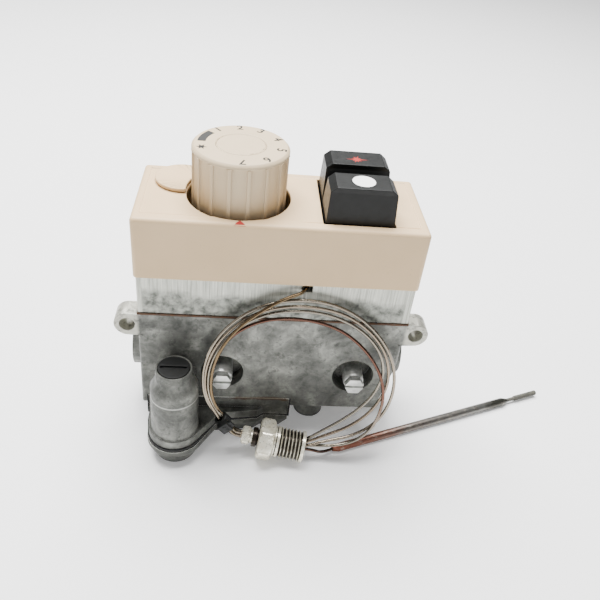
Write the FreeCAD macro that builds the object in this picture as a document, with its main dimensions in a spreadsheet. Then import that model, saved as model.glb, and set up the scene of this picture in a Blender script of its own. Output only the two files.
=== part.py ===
"""Gas control valve with a dial thermostat, two push keys and a capillary sensor.

Millimetres, +Z up. The valve stands on its bottom pan and foot at z = 0, and the origin is the
bottom centre of the valve without its capillary. +X points to the gas outlet, -Y to the front.
"""
import FreeCAD, Part
import Sketcher
import math
import os
import re

doc = FreeCAD.newDocument("GasValve")
Vector = FreeCAD.Vector
Rotation = FreeCAD.Rotation

SIZES = {
    # cover and thermostat housing
    "cover_length": 112, "cover_depth": 45, "cover_height": 26, "cover_wall": 2.2,
    "cover_base": 84, "cover_middle": 11.25, "cover_round": 1.6,
    "panel_border": 3, "panel_sink": 0.35, "panel_front": 4.9,
    "housing_inset": 0.9, "housing_base": 66.5, "gasket_thickness": 0.9, "gasket_lip": 0.5,
    "cavity_depth": 13, "cavity_half_length": 45, "cavity_front": -3, "cavity_back": 27,
    # dial knob and its spindle
    "dial_x": -17, "dial_y": 12.4, "dial_radius": 18.5, "dial_top": 130.8, "dial_base": 100,
    "dial_hole_radius": 20.4, "dial_root_radius": 17.7, "dial_rib_width": 1.5, "dial_cap": 2,
    "dial_ring_radius": 9.4,
    "dial_ring_width": 0.5, "dial_ring_depth": 0.3, "dial_wall": 2, "dial_hub_radius": 5.2,
    "spindle_radius": 3, "spindle_flat": 2.2, "spindle_base": 79.7, "spindle_top": 124,
    "spindle_bore_radius": 2.05, "spindle_bore_depth": 9, "running_gap": 0.05,
    "bush_radius": 7, "bush_flats": 15, "bush_head": 4,
    # blanking plug beside the dial
    "plug_x": -39.6, "plug_y": 21.6, "plug_radius": 10.9, "plug_rise": 1.5,
    "plug_stem_x": -42.5, "plug_stem_radius": 5.3, "plug_stem_length": 5, "plug_stem_wall": 1,
    "plug_hole_radius": 5.5,
    # push keys
    "key_x": 29, "key_width": 26.4, "key_depth": 17.2, "key_front_y": 2.4, "key_back_y": 20.4,
    "key_skirt": 97, "key_shoulder": 122.2, "key_top": 124.2, "key_wall": 2, "key_thick_wall": 4.2,
    "key_chamfer": 2.4, "key_outer_slope": 1.2, "key_inner_slope": 3.4,
    "key_opening_front": -7, "key_opening_back": 29.9, "key_opening_gap": 0.75,
    "guide_wall": 0.7, "guide_floor": 1.2, "guide_gap": 0.4,
    "plunger_radius": 2, "plunger_top": 108, "plunger_head_radius": 4.4, "plunger_head": 1.5,
    "off_plunger_base": 72,
    "key_spring_radius": 3.7, "key_spring_wire": 0.6,
    # valve body
    "body_half_length": 55.4, "body_front": -10.25, "body_back": 32.5, "body_base": 16.4,
    "body_top": 65.6, "body_right_foot": 49, "body_right_waist": 44,
    "port_height": 29.5, "port_y": 16.5, "port_boss_radius": 11, "port_face": 61.5,
    "port_radius": 7.475, "port_depth": 14, "passage_radius": 5,
    "lug_x": 59.6, "lug_z": 60.1, "lug_radius": 5.4, "lug_hole_radius": 3.1,
    "lug_thickness": 8.8,
    "pocket_radius": 9, "pocket_depth": 8, "left_pocket_x": -20.8, "right_pocket_x": 36.3,
    "pocket_z": 35.6,
    "flange_base": 11, "flange_top": 20.6, "flange_right": 9.5, "flange_left": -52.6,
    "flange_proud": 0.3, "lobe_radius": 11.2, "lobe_lean": 59, "lobe_top": 15,
    "step_left": -21.5, "step_left_y": -14.8, "step_right": -4.5, "step_right_y": -12.6,
    "step_end": -1.5,
    "tower_x": -40, "tower_y": -21.75, "tower_radius": 9.9, "tower_shoulder": 38.3,
    "tower_cone": 4.2,
    "tower_neck_radius": 7.5, "tower_top": 48, "tower_bore_radius": 6.6, "tower_web": 15,
    "foot_x": 20.8, "foot_y": 5.6, "foot_radius": 6.9,
    # main valve, lever and bellows
    "valve_x": 8, "valve_chamber_radius": 9.5, "valve_chamber_base": 42,
    "valve_seat_base": 53, "valve_seat_height": 2.2, "valve_seat_hole": 5,
    "valve_disc_radius": 7.6, "valve_disc_height": 2.4, "valve_stem_radius": 1.2,
    "lever_x": -7, "lever_pivot_z": 68.8, "lever_bar": 1.4, "lever_width": 6,
    "lever_left": -21, "lever_right": 11, "lever_hub_radius": 1.9, "lever_pin_radius": 1,
    "bellows_radius": 8.2, "bellows_neck": 6.6, "bellows_fold": 1.4, "seat_plate_height": 2.4,
    "seat_plate_top": 78.4, "seat_plate_radius": 7.5,
    # flame-failure magnet unit and its safety valve
    "magnet_x": 29, "magnet_y": 20.4, "magnet_bore_radius": 7, "magnet_bore_top": 45,
    "upper_bore_radius": 3.4, "magnet_shank_base": 11,
    "magnet_top": 31, "magnet_nut_base": 5, "magnet_nut_flats": 15, "thermocouple_radius": 3.96,
    "safety_disc_top": 44.8, "safety_disc_height": 2.2, "safety_disc_radius": 5.6,
    # pressure regulator
    "cap_radius": 6.5, "cap_base": 45.4, "cap_top": 48.3, "slot_width": 1.3, "slot_depth": 1,
    "adjuster_base": 38, "adjuster_height": 4, "adjuster_radius": 5.8,
    "regulator_spring_radius": 4.2, "regulator_stem_radius": 2.8, "regulator_plate_height": 0.8,
    "regulator_stem_height": 4,
    "regulator_plate_base": 12.1, "regulator_plate_radius": 6,
    # rubber diaphragm and bottom pan
    "diaphragm_base": 9.8, "tab_width": 0.7, "pan_rim": 2.4, "pan_floor": 2.4,
    "pan_draft": 24, "pan_lobe_radius": 12,
    "chamber_x": -24, "chamber_y": 11.25, "chamber_radius": 16,
    # test nipples
    "nipple_radius": 4.5, "nipple_end": -14, "nipple_bore_radius": 1.95,
    "test_screw_radius": 1.9, "test_screw_length": 9.5, "test_head_flats": 7.6, "test_head": 2.7,
    "test_slot_width": 1.1, "test_slot_depth": 1.5,
    # pilot outlet and screws
    "pilot_x": 44, "pilot_y": 22.5, "pilot_radius": 3.5, "pilot_nut_flats": 10, "riser_x": 43.5,
    "pilot_nut_height": 6, "pilot_bore_radius": 2.1,
    "pilot_screw_x": 38, "pilot_screw_z": 50, "pilot_screw_radius": 3.55, "pilot_screw_length": 5,
    "body_screw_x": 50, "body_screw_front": -5, "body_screw_back": 27,
    "body_screw_radius": 2, "body_screw_head": 3.6, "body_screw_depth": 12,
    "pan_screw_radius": 1.75, "pan_screw_head": 3.1, "pan_screw_length": 14,
    # capillary, gland and sensing bulb
    "capillary_radius": 0.7, "bundle_radius": 1.9, "notch_x": 11.6, "notch_width": 4,
    "notch_base": 80.4, "coil_thickness": 4.2, "bulb_radius": 2, "bulb_length": 99,
    "gland_flats": 17, "gland_thread_radius": 7, "gland_nut_flats": 7.4, "gland_bore_radius": 2.1,
    "tie_width": 4.4, "tie_band": 1.1, "tie_head": 5, "tie_head_depth": 4.4,
}


def make_sheet():
    """Keeps the driving dimensions in a spreadsheet, one named cell each."""
    sizes = doc.addObject("Spreadsheet::Sheet", "Sizes")
    for row, (name, value) in enumerate(SIZES.items(), start=1):
        sizes.set(f"A{row}", name)
        sizes.set(f"B{row}", str(value))
        sizes.setAlias(f"B{row}", name)
    doc.recompute()
    return sizes


sheet = make_sheet()
NODES = {}

DIAL_RIBS = 16
DIAL_FIRST_RIB = 11

# Each direction turns a shape that was made along +Z.
UP = Rotation(Vector(1, 0, 0), 0)
FRONT = Rotation(Vector(1, 0, 0), 90)
BACK = Rotation(Vector(1, 0, 0), -90)
RIGHT = Rotation(Vector(0, 1, 0), 90)
LEFT = Rotation(Vector(0, 1, 0), -90)


def formula(text):
    """Points every dimension's name in an expression at its cell."""
    def cell(word):
        return f"Sizes.{word.group(0)}" if word.group(0) in SIZES else word.group(0)
    return re.sub(r"[a-z][a-z_]*", cell, str(text))


def bind(item, **expressions):
    """Binds an object's properties to expressions over the sheet."""
    for name, text in expressions.items():
        item.setExpression(name, formula(text))
    return item


def place(item, x, y, z, facing=UP):
    """Turns an object and binds its position."""
    item.Placement = FreeCAD.Placement(Vector(0, 0, 0), facing)
    for axis, text in zip("xyz", (x, y, z)):
        item.setExpression(f"Placement.Base.{axis}", formula(text))
    return item


def node(label, item):
    """Names the finished object of one sub-part."""
    item.Label = label
    NODES[label] = item
    return item


# --- primitives ---------------------------------------------------------------------------------

def cylinder(radius, height, x, y, z, facing=UP):
    item = doc.addObject("Part::Cylinder", "Cylinder")
    return place(bind(item, Radius=radius, Height=height), x, y, z, facing)


def cone(low_radius, high_radius, height, x, y, z, facing=UP):
    item = doc.addObject("Part::Cone", "Cone")
    bind(item, Radius1=low_radius, Radius2=high_radius, Height=height)
    return place(item, x, y, z, facing)


def box(length, width, height, x, y, z):
    item = doc.addObject("Part::Box", "Box")
    return place(bind(item, Length=length, Width=width, Height=height), x, y, z)


def hexagon(flats, height, x, y, z, facing=UP):
    """A hexagonal prism of a given width across its flats."""
    item = doc.addObject("Part::Prism", "Hexagon")
    item.Polygon = 6
    bind(item, Circumradius=f"({flats}) / sqrt(3)", Height=height)
    return place(item, x, y, z, facing)


def fuse(*shapes):
    item = doc.addObject("Part::MultiFuse", "Fuse")
    item.Shapes = list(shapes)
    item.Refine = True
    return item


def cut(base, *tools):
    item = doc.addObject("Part::Cut", "Cut")
    item.Base = base
    item.Tool = tools[0] if len(tools) == 1 else fuse(*tools)
    item.Refine = True
    return item


def group(*shapes):
    """Separate solids that share one node."""
    item = doc.addObject("Part::Compound", "Group")
    item.Links = list(shapes)
    return item


def spring(radius, wire, turns, height, x, y, z):
    """A closed-end coil spring standing on z."""
    helix = doc.addObject("Part::Helix", "Helix")
    bind(helix, Radius=radius, Height=height, Pitch=f"({height}) / {turns}")
    section = doc.addObject("Part::Circle", "Wire")
    bind(section, Radius=wire)
    place(section, radius, 0, 0, FRONT)
    sweep = doc.addObject("Part::Sweep", "Spring")
    sweep.Sections = [section]
    sweep.Spine = (helix, [])
    sweep.Solid = True
    sweep.Frenet = True
    return place(group(sweep), x, y, z)


# --- bodies with sketches -----------------------------------------------------------------------

def new_body(name):
    return doc.addObject("PartDesign::Body", name)


def sketch(body, role, offset):
    """A sketch on one of the body's own origin planes, moved along that plane's normal."""
    drawing = body.newObject("Sketcher::SketchObject", "Sketch")
    plane = next(item for item in body.Origin.OriginFeatures if item.Role == role)
    drawing.AttachmentSupport = (plane, [""])
    drawing.MapMode = "FlatFace"
    drawing.setExpression("AttachmentOffset.Base.z", formula(offset))
    return drawing


def outline(drawing, corners):
    """A closed outline of straight edges whose corners are bound to the sheet."""
    count = len(corners)
    first = drawing.GeometryCount
    for number in range(count):
        turn = 2 * math.pi * number / count
        after = 2 * math.pi * (number + 1) / count
        start = Vector(math.cos(turn), math.sin(turn), 0)
        drawing.addGeometry(Part.LineSegment(start, Vector(math.cos(after), math.sin(after), 0)), False)
    for number, (x, y) in enumerate(corners):
        line = first + number
        following = first + (number + 1) % count
        drawing.addConstraint(Sketcher.Constraint("Coincident", line, 2, following, 1))
        for kind, text in (("DistanceX", x), ("DistanceY", y)):
            index = drawing.addConstraint(Sketcher.Constraint(kind, -1, 1, line, 1, 1.0))
            drawing.setExpression(f"Constraints[{index}]", formula(text))


def rectangle(drawing, left, right, low, high):
    outline(drawing, [(left, low), (right, low), (right, high), (left, high)])


def circle(drawing, x, y, radius):
    number = drawing.addGeometry(Part.Circle(Vector(0, 0, 0), Vector(0, 0, 1), 1), False)
    for kind, text in (("DistanceX", x), ("DistanceY", y)):
        index = drawing.addConstraint(Sketcher.Constraint(kind, -1, 1, number, 3, 1.0))
        drawing.setExpression(f"Constraints[{index}]", formula(text))
    index = drawing.addConstraint(Sketcher.Constraint("Radius", number, 1.0))
    drawing.setExpression(f"Constraints[{index}]", formula(radius))


def pad(body, drawing, length, taper=None, reverse=False):
    feature = body.newObject("PartDesign::Pad", "Pad")
    feature.Profile = drawing
    feature.Reversed = reverse
    bind(feature, Length=length)
    if taper:
        bind(feature, TaperAngle=taper)
    return feature


def pocket(body, drawing, depth, reverse=False):
    feature = body.newObject("PartDesign::Pocket", "Pocket")
    feature.Profile = drawing
    feature.Reversed = reverse
    bind(feature, Length=depth)
    return feature


def edges_where(body, test):
    """Names of the edges of a body's last feature that pass a test."""
    doc.recompute()
    return [f"Edge{number}" for number, edge in enumerate(body.Tip.Shape.Edges, start=1) if test(edge)]


def soften(body, kind, size, test):
    """Rounds or bevels the edges of a body's last feature that pass a test."""
    names = edges_where(body, test)
    base = body.Tip
    feature = body.newObject(f"PartDesign::{kind}", kind)
    feature.Base = (base, names)
    bind(feature, **{"Radius" if kind == "Fillet" else "Size": size})
    return feature


def is_upright(edge):
    low, high = edge.BoundBox.ZMin, edge.BoundBox.ZMax
    flat = max(edge.BoundBox.XLength, edge.BoundBox.YLength) < 1e-6
    return flat and high - low > 1e-6


def lies_at(edge, height):
    box_of_edge = edge.BoundBox
    return abs(box_of_edge.ZMin - height) < 1e-6 and abs(box_of_edge.ZMax - height) < 1e-6


def size(name):
    """A driving dimension read back from the sheet."""
    return float(sheet.get(name))


# --- cover, dial and keys -----------------------------------------------------------------------

def make_cover():
    """A plastic hood, open underneath, with a sunk top panel and openings for dial and keys."""
    body = new_body("CoverBody")
    half = "cover_length / 2"
    front = "cover_middle - cover_depth / 2"
    back = "cover_middle + cover_depth / 2"
    top = "cover_base + cover_height"
    outside = sketch(body, "XY_Plane", "cover_base")
    rectangle(outside, f"-{half}", half, front, back)
    pad(body, outside, "cover_height")
    roof = size("cover_base") + size("cover_height")
    soften(body, "Fillet", "cover_round", lambda edge: is_upright(edge) or lies_at(edge, roof))
    inside = sketch(body, "XY_Plane", "cover_base")
    rectangle(inside, f"cover_wall - {half}", f"{half} - cover_wall",
              f"{front} + cover_wall", f"{back} - cover_wall")
    pocket(body, inside, "cover_height - cover_wall", reverse=True)
    panel = sketch(body, "XY_Plane", top)
    rectangle(panel, f"panel_border - {half}", f"{half} - panel_border - 0.6",
              f"{front} + panel_front", f"{back} - panel_border")
    pocket(body, panel, "panel_sink")
    openings = sketch(body, "XY_Plane", top)
    circle(openings, "dial_x", "dial_y", "dial_hole_radius")
    rectangle(openings, "key_x - key_width / 2 - key_opening_gap", "key_x + key_width / 2 + key_opening_gap",
              "key_opening_front", "key_opening_back")
    circle(openings, "plug_stem_x", "plug_y", "plug_hole_radius")
    pocket(body, openings, "cover_wall * 2")
    node("cover", body)


def make_blanking_plug():
    """A disc cut away around the dial, with a hollow stem that snaps into the cover's hole."""
    top = "cover_base + cover_height"
    disc = cylinder("plug_radius", "plug_rise", "plug_x", "plug_y", top)
    dial_room = cylinder("dial_hole_radius + 0.2", "plug_rise * 3", "dial_x", "dial_y", f"{top} - 1")
    head = cut(disc, dial_room)
    stem_place = ("plug_stem_length", "plug_stem_x", "plug_y", f"{top} - plug_stem_length")
    stem = cylinder("plug_stem_radius", *stem_place)
    hollow = cylinder("plug_stem_radius - plug_stem_wall", *stem_place)
    node("igniter_blanking_plug", fuse(head, cut(stem, hollow)))


def make_dial():
    """The fluted knob: a hollow cup with sixteen ribs, a bevelled cap and a D-bored hub."""
    body = new_body("DialBody")
    core = sketch(body, "XY_Plane", "dial_base")
    circle(core, "dial_x", "dial_y", "dial_root_radius")
    pad(body, core, "dial_top - dial_base - dial_cap")
    cap = sketch(body, "XY_Plane", "dial_top - dial_cap")
    circle(cap, "dial_x", "dial_y", "dial_radius")
    pad(body, cap, "dial_cap")
    top = size("dial_top")
    soften(body, "Chamfer", "dial_cap / 2", lambda edge: lies_at(edge, top))
    hollow = sketch(body, "XY_Plane", "dial_base")
    circle(hollow, "dial_x", "dial_y", "dial_root_radius - dial_wall")
    pocket(body, hollow, "dial_top - dial_base - dial_wall - dial_cap", reverse=True)
    ring = sketch(body, "XY_Plane", "dial_top")
    circle(ring, "dial_x", "dial_y", "dial_ring_radius + dial_ring_width / 2")
    circle(ring, "dial_x", "dial_y", "dial_ring_radius - dial_ring_width / 2")
    pocket(body, ring, "dial_ring_depth")
    hub = sketch(body, "XY_Plane", "dial_base + 4")
    circle(hub, "dial_x", "dial_y", "dial_hub_radius")
    pad(body, hub, "dial_top - dial_base - dial_wall - 5")
    shaft = cylinder("spindle_radius", "spindle_top - dial_base + 0.2", "dial_x", "dial_y", "dial_base")
    flat = box("2 * spindle_radius", "spindle_radius", "spindle_top", "dial_x - spindle_radius",
               "dial_y + spindle_flat", "dial_base - 1")
    ribs = []
    for number in range(DIAL_RIBS):
        turn = 360 * number / DIAL_RIBS + DIAL_FIRST_RIB
        rib = doc.addObject("Part::Box", "Rib")
        bind(rib, Length="dial_radius - dial_root_radius + 1", Width="dial_rib_width",
             Height="dial_top - dial_base - dial_cap")
        reach = "(dial_root_radius - 1)"
        side = "(dial_rib_width / 2)"
        place(rib, f"dial_x + {reach} * cos({turn}) + {side} * sin({turn})",
              f"dial_y + {reach} * sin({turn}) - {side} * cos({turn})", "dial_base",
              Rotation(Vector(0, 0, 1), turn))
        ribs.append(rib)
    limit = cylinder("dial_radius - 0.05", "dial_top", "dial_x", "dial_y", "0")
    trimmed = doc.addObject("Part::Common", "Ribs")
    trimmed.Base = fuse(*ribs)
    trimmed.Tool = limit
    node("control_knob", cut(fuse(body, trimmed), cut(shaft, flat)))


def make_spindle():
    """The dial's shaft, with a flat for the hub and a threaded bore for the bellows seat."""
    shaft = cylinder("spindle_radius - 0.04", "spindle_top - spindle_base", "dial_x", "dial_y",
                     "spindle_base")
    collar = cylinder("dial_hub_radius", "1.2", "dial_x", "dial_y", "cover_base + bush_head + 0.3")
    flat = box("2 * spindle_radius", "spindle_radius", "spindle_top - dial_base + 1",
               "dial_x - spindle_radius", "dial_y + spindle_flat - 0.04", "dial_base")
    bore = cylinder("spindle_bore_radius", "spindle_bore_depth", "dial_x", "dial_y", "spindle_base")
    node("dial_spindle", cut(fuse(shaft, collar), flat, bore))


def make_bush():
    """A hexagon-headed bush that screws into the housing's roof and guides the spindle."""
    thread = cylinder("bush_radius", "cover_base - housing_base - cavity_depth", "dial_x", "dial_y",
                      "housing_base + cavity_depth")
    head = hexagon("bush_flats", "bush_head", "dial_x", "dial_y", "cover_base")
    bore = cylinder("spindle_radius + 0.01", "20", "dial_x", "dial_y", "housing_base + cavity_depth - 1")
    node("spindle_bush", cut(fuse(thread, head), bore))


def make_key(label, middle, outward):
    """A hollow push key: sloping front and back, with bevelled left and right shoulders."""
    body = new_body(label + "_body")
    steps = ((("key_skirt", 0, 0), ("cover_base + cover_height", 0, 0)),
             (("cover_base + cover_height", 0, 0), ("key_shoulder", 1, 0)),
             (("key_shoulder", 1, 0), ("key_top", 1, 1)))
    for step in steps:
        sections = []
        for height, slope, bevel in step:
            drawing = sketch(body, "XY_Plane", height)
            side = f"(key_width / 2 - {0.5 * slope} - {bevel} * key_chamfer)"
            outer = f"(key_depth / 2 - {slope} * key_outer_slope)"
            inner = f"(key_depth / 2 - {slope} * key_inner_slope)"
            low, high = (f"-{outer}", inner) if outward < 0 else (f"-{inner}", outer)
            rectangle(drawing, f"key_x - {side}", f"key_x + {side}",
                      f"{middle} + {low}", f"{middle} + {high}")
            sections.append(drawing)
        loft = body.newObject("PartDesign::AdditiveLoft", "Loft")
        loft.Profile = sections[0]
        loft.Sections = sections[1:]
        loft.Ruled = True
    hollow = box("key_width - 2 * key_wall", "key_depth - 2 * key_thick_wall", "plunger_top - key_skirt",
                 "key_x - key_width / 2 + key_wall", f"{middle} - key_depth / 2 + key_thick_wall",
                 "key_skirt")
    node(label, cut(body, hollow))


def make_key_guide():
    """The dark frame under the cover that both keys slide in."""
    left = "key_x - key_width / 2 - guide_gap"
    span = "key_width + 2 * guide_gap"
    front = "key_front_y - key_depth / 2 - guide_gap"
    reach = "key_back_y - key_front_y + key_depth + 2 * guide_gap"
    frame = box(f"{span} + 2 * guide_wall", f"{reach} + 2 * guide_wall", "cover_height - cover_wall - 0.1",
                f"{left} - guide_wall", f"{front} - guide_wall", "cover_base")
    room = box(span, reach, "cover_height", left, front, "cover_base + guide_floor")
    holes = [cylinder("plunger_radius + 0.6", "4", "key_x", y, "cover_base - 1")
             for y in ("key_front_y", "key_back_y")]
    node("key_guide", cut(frame, room, *holes))


def make_plunger(label, y, low):
    """The metal rod under a key, with a head that the key's roof presses on."""
    rod = cylinder("plunger_radius", f"plunger_top - ({low})", "key_x", y, low)
    head = cylinder("plunger_head_radius", "plunger_head", "key_x", y, "plunger_top - plunger_head")
    node(label, fuse(rod, head))


def make_key_springs():
    """A return spring under each key's plunger head."""
    for label, y in (("off_key_spring", "key_front_y"), ("ignition_key_spring", "key_back_y")):
        node(label, spring("key_spring_radius", "key_spring_wire / 2", 6,
                           "plunger_top - plunger_head - cover_base - guide_floor - 0.9", "key_x", y,
                           "cover_base + guide_floor + key_spring_wire / 2 + 0.2"))


# --- thermostat housing -------------------------------------------------------------------------

def make_housing():
    """The machined upper casting over the bellows and lever, with the capillary's notch."""
    body = new_body("HousingBody")
    block = sketch(body, "XY_Plane", "housing_base")
    rectangle(block, "housing_inset - cover_length / 2", "cover_length / 2 - housing_inset",
              "body_front", "body_back")
    pad(body, block, "cover_base - housing_base")
    cavity = sketch(body, "XY_Plane", "housing_base")
    rectangle(cavity, "-cavity_half_length", "cavity_half_length", "cavity_front", "cavity_back")
    pocket(body, cavity, "cavity_depth", reverse=True)
    holes = sketch(body, "XY_Plane", "cover_base")
    circle(holes, "dial_x", "dial_y", "bush_radius")
    circle(holes, "key_x", "key_front_y", "plunger_radius + running_gap")
    circle(holes, "key_x", "key_back_y", "plunger_radius + running_gap")
    for x in ("body_screw_x", "-body_screw_x"):
        for y in ("body_screw_front", "body_screw_back"):
            circle(holes, x, y, "body_screw_radius + 0.15")
    pocket(body, holes, "cover_base - housing_base")
    notch = box("notch_width", "cavity_front - body_front + 3", "cover_base - notch_base",
                "notch_x - notch_width / 2", "body_front", "notch_base")
    drop = box("notch_width + 2", "6.5", "cover_base - housing_base", "notch_x - notch_width / 2",
               "cavity_front - 2.5", "housing_base")
    lugs = []
    for y in ("dial_y - lever_width / 2 - 2.8", "dial_y + lever_width / 2 + 0.3"):
        lugs.append(box("3", "2.5", "cavity_depth - 0.3", "lever_x - 1.5", y, "housing_base + 0.3"))
    pin_hole = cylinder("lever_pin_radius", "30", "lever_x", "dial_y - 15", "lever_pivot_z", BACK)
    node("thermostat_housing", cut(fuse(cut(body, notch, drop), *lugs), pin_hole))


def make_gasket():
    """The brown fibre gasket between the two castings."""
    sheet_of_fibre = box("cover_length - 2 * housing_inset + gasket_lip",
                         "body_back - body_front + 2 * gasket_lip", "gasket_thickness",
                         "housing_inset - cover_length / 2 - gasket_lip / 2",
                         "body_front - gasket_lip", "body_top")
    holes = [cylinder("valve_chamber_radius + 0.5", "2", "valve_x", "dial_y", "body_top - 1"),
             cylinder("upper_bore_radius", "2", "magnet_x", "magnet_y", "body_top - 1")]
    for x in ("body_screw_x", "-body_screw_x"):
        for y in ("body_screw_front", "body_screw_back"):
            holes.append(cylinder("body_screw_radius + 0.3", "2", x, y, "body_top - 1"))
    node("body_gasket", cut(sheet_of_fibre, *holes))


def make_bellows():
    """The seat plate that the spindle drives, and the folded capsule under it."""
    plate = cylinder("seat_plate_radius", "seat_plate_height", "dial_x", "dial_y",
                     "seat_plate_top - seat_plate_height")
    stub = cylinder("spindle_bore_radius - running_gap", "spindle_bore_depth - 1.5", "dial_x", "dial_y",
                    "seat_plate_top")
    node("bellows_seat", fuse(plate, stub))
    folds = []
    plate_base = "(seat_plate_top - seat_plate_height)"
    for number in range(3):
        folds.append(cylinder("bellows_radius", "bellows_fold * 0.6", "dial_x", "dial_y",
                              f"{plate_base} - bellows_fold * {number + 0.6}"))
        folds.append(cylinder("bellows_neck", "bellows_fold * 0.4", "dial_x", "dial_y",
                              f"{plate_base} - bellows_fold * {number + 1}"))
    folds.append(cylinder("plunger_radius", "0.6", "dial_x", "dial_y",
                          f"{plate_base} - bellows_fold * 3 - 0.6"))
    node("thermostat_bellows", fuse(*folds))


def make_lever():
    """The rocking lever from the bellows to the main valve, on its pin."""
    bar = box("lever_right - lever_left", "lever_width", "lever_bar", "lever_left",
              "dial_y - lever_width / 2", "lever_pivot_z - lever_bar / 2")
    hub = cylinder("lever_hub_radius", "lever_width", "lever_x", "dial_y - lever_width / 2",
                   "lever_pivot_z", BACK)
    bore = cylinder("lever_pin_radius + running_gap", "lever_width + 2", "lever_x",
                    "dial_y - lever_width / 2 - 1", "lever_pivot_z", BACK)
    node("thermostat_lever", cut(fuse(bar, hub), bore))
    node("lever_pin", cylinder("lever_pin_radius", "lever_width + 5", "lever_x",
                               "dial_y - lever_width / 2 - 2.5", "lever_pivot_z", BACK))


# --- valve body ---------------------------------------------------------------------------------

def make_valve_body():
    """The main die casting: gas ways, lugs, port bosses, regulator tower and lower flange."""
    body = new_body("CastingBody")
    front_view = sketch(body, "XZ_Plane", "-body_front")
    outline(front_view, [("-body_half_length", "body_top"), ("-body_half_length", "body_base"),
                         ("body_right_foot", "body_base"), ("body_half_length - 0.6", "body_right_waist"),
                         ("body_half_length - 0.6", "body_top")])
    pad(body, front_view, "body_back - body_front", reverse=True)
    low = size("body_base")
    soften(body, "Fillet", "2.4", lambda edge: edge.BoundBox.YLength > 30 and edge.BoundBox.ZMin < low + 1
           and edge.BoundBox.XMax > 0 and edge.BoundBox.XLength < 1)
    soften(body, "Fillet", "1.2", is_upright)
    for x in ("left_pocket_x", "right_pocket_x"):
        recess = sketch(body, "XZ_Plane", "-body_front")
        circle(recess, x, "pocket_z", "pocket_radius")
        pocket(body, recess, "pocket_depth")
    added = [
        box("flange_right - flange_left", "body_back - body_front - 2", "flange_top - flange_base",
            "flange_left", "body_front - flange_proud", "flange_base"),
        cylinder("lobe_radius", "lobe_top - flange_base", "tower_x", "tower_y", "flange_base"),
        cone("tower_radius + 0.3", "tower_radius", "tower_shoulder - flange_base", "tower_x", "tower_y",
             "flange_base"),
        cone("tower_radius", "tower_neck_radius", "tower_cone", "tower_x", "tower_y", "tower_shoulder"),
        cylinder("tower_neck_radius", "tower_top - tower_shoulder", "tower_x", "tower_y", "tower_shoulder"),
        box("tower_web", "body_front - tower_y + 1", "tower_shoulder - flange_base",
            "tower_x - tower_web / 2", "tower_y", "flange_base"),
        make_lobe_web(),
        cylinder("foot_radius", "body_base + 1", "foot_x", "foot_y", "0"),
        cylinder("magnet_bore_radius + 1.8", "5", "magnet_x", "magnet_y", "body_base - 4"),
    ]
    for side, facing in ((1, RIGHT), (-1, LEFT)):
        added.append(cylinder("port_boss_radius", "port_face - body_right_foot + 2",
                              f"{side} * (body_right_foot - 2)", "port_y", "port_height", facing))
        added.append(cylinder("lug_radius", "lug_thickness", f"{side} * lug_x", "body_front", "lug_z", BACK))
        added.append(box("lug_x - body_half_length + 3", "lug_thickness", "2 * lug_radius",
                         f"{side} * (lug_x + body_half_length - 3) / 2 - (lug_x - body_half_length + 3) / 2",
                         "body_front", "lug_z - lug_radius"))
    removed = [
        cylinder("tower_bore_radius", "tower_top - cap_base + 1", "tower_x", "tower_y", "cap_base"),
        cylinder("adjuster_radius", "tower_top - flange_base", "tower_x", "tower_y", "flange_base - 0.5"),
        cylinder("valve_chamber_radius", "body_top - valve_chamber_base + 1", "valve_x", "dial_y",
                 "valve_chamber_base"),
        cylinder("magnet_bore_radius", "magnet_bore_top - magnet_nut_base", "magnet_x", "magnet_y",
                 "magnet_nut_base"),
        cylinder("upper_bore_radius", "body_top - magnet_bore_top + 2", "magnet_x", "magnet_y",
                 "magnet_bore_top - 1"),
        cylinder("passage_radius", "body_top - port_height - 3", "riser_x", "dial_y - 3", "port_height"),
        cylinder("3.2", "34", "valve_x", "dial_y - 3", "body_top - 7", RIGHT),
        cylinder("passage_radius - 1", "34", "-34", "port_y", "valve_chamber_base + 4", RIGHT),
        cylinder("passage_radius - 1", "20", "-34", "port_y", "port_height - 4"),
        cylinder("pilot_screw_radius + running_gap", "pilot_screw_length + 1.5", "pilot_screw_x",
                 "body_back", "pilot_screw_z", FRONT),
        cylinder("pilot_radius", "9", "pilot_x", "pilot_y", "body_base - 1"),
    ]
    for side, facing, passage_end in ((1, LEFT, "riser_x - passage_radius"), (-1, RIGHT, "18")):
        removed.append(cylinder("port_radius", "port_depth", f"{side} * port_face", "port_y",
                                "port_height", facing))
        removed.append(cylinder("passage_radius", f"port_face - ({passage_end})", f"{side} * port_face",
                                "port_y", "port_height", facing))
        removed.append(cylinder("lug_hole_radius", "lug_thickness + 2", f"{side} * lug_x",
                                "body_front - 1", "lug_z", BACK))
        for y in ("body_screw_front", "body_screw_back"):
            removed.append(cylinder("body_screw_radius", "body_screw_depth", f"{side} * body_screw_x", y,
                                    "body_top - body_screw_depth"))
    for x in ("left_pocket_x", "right_pocket_x"):
        removed.append(cylinder("nipple_bore_radius", "16", x, "body_front + pocket_depth - 1",
                                "pocket_z", BACK))
    for x, y in pan_screw_places():
        removed.append(cylinder("pan_screw_radius", "9", x, y, "flange_base - 1"))
    node("valve_body", cut(fuse(body, *added), *removed))


# The lower flange steps forward of the casting's front face before it meets the tower's lobe.
FLANGE_STEP = [("step_left", "step_left_y"), ("step_right", "step_right_y"), ("step_end", "body_front")]


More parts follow.
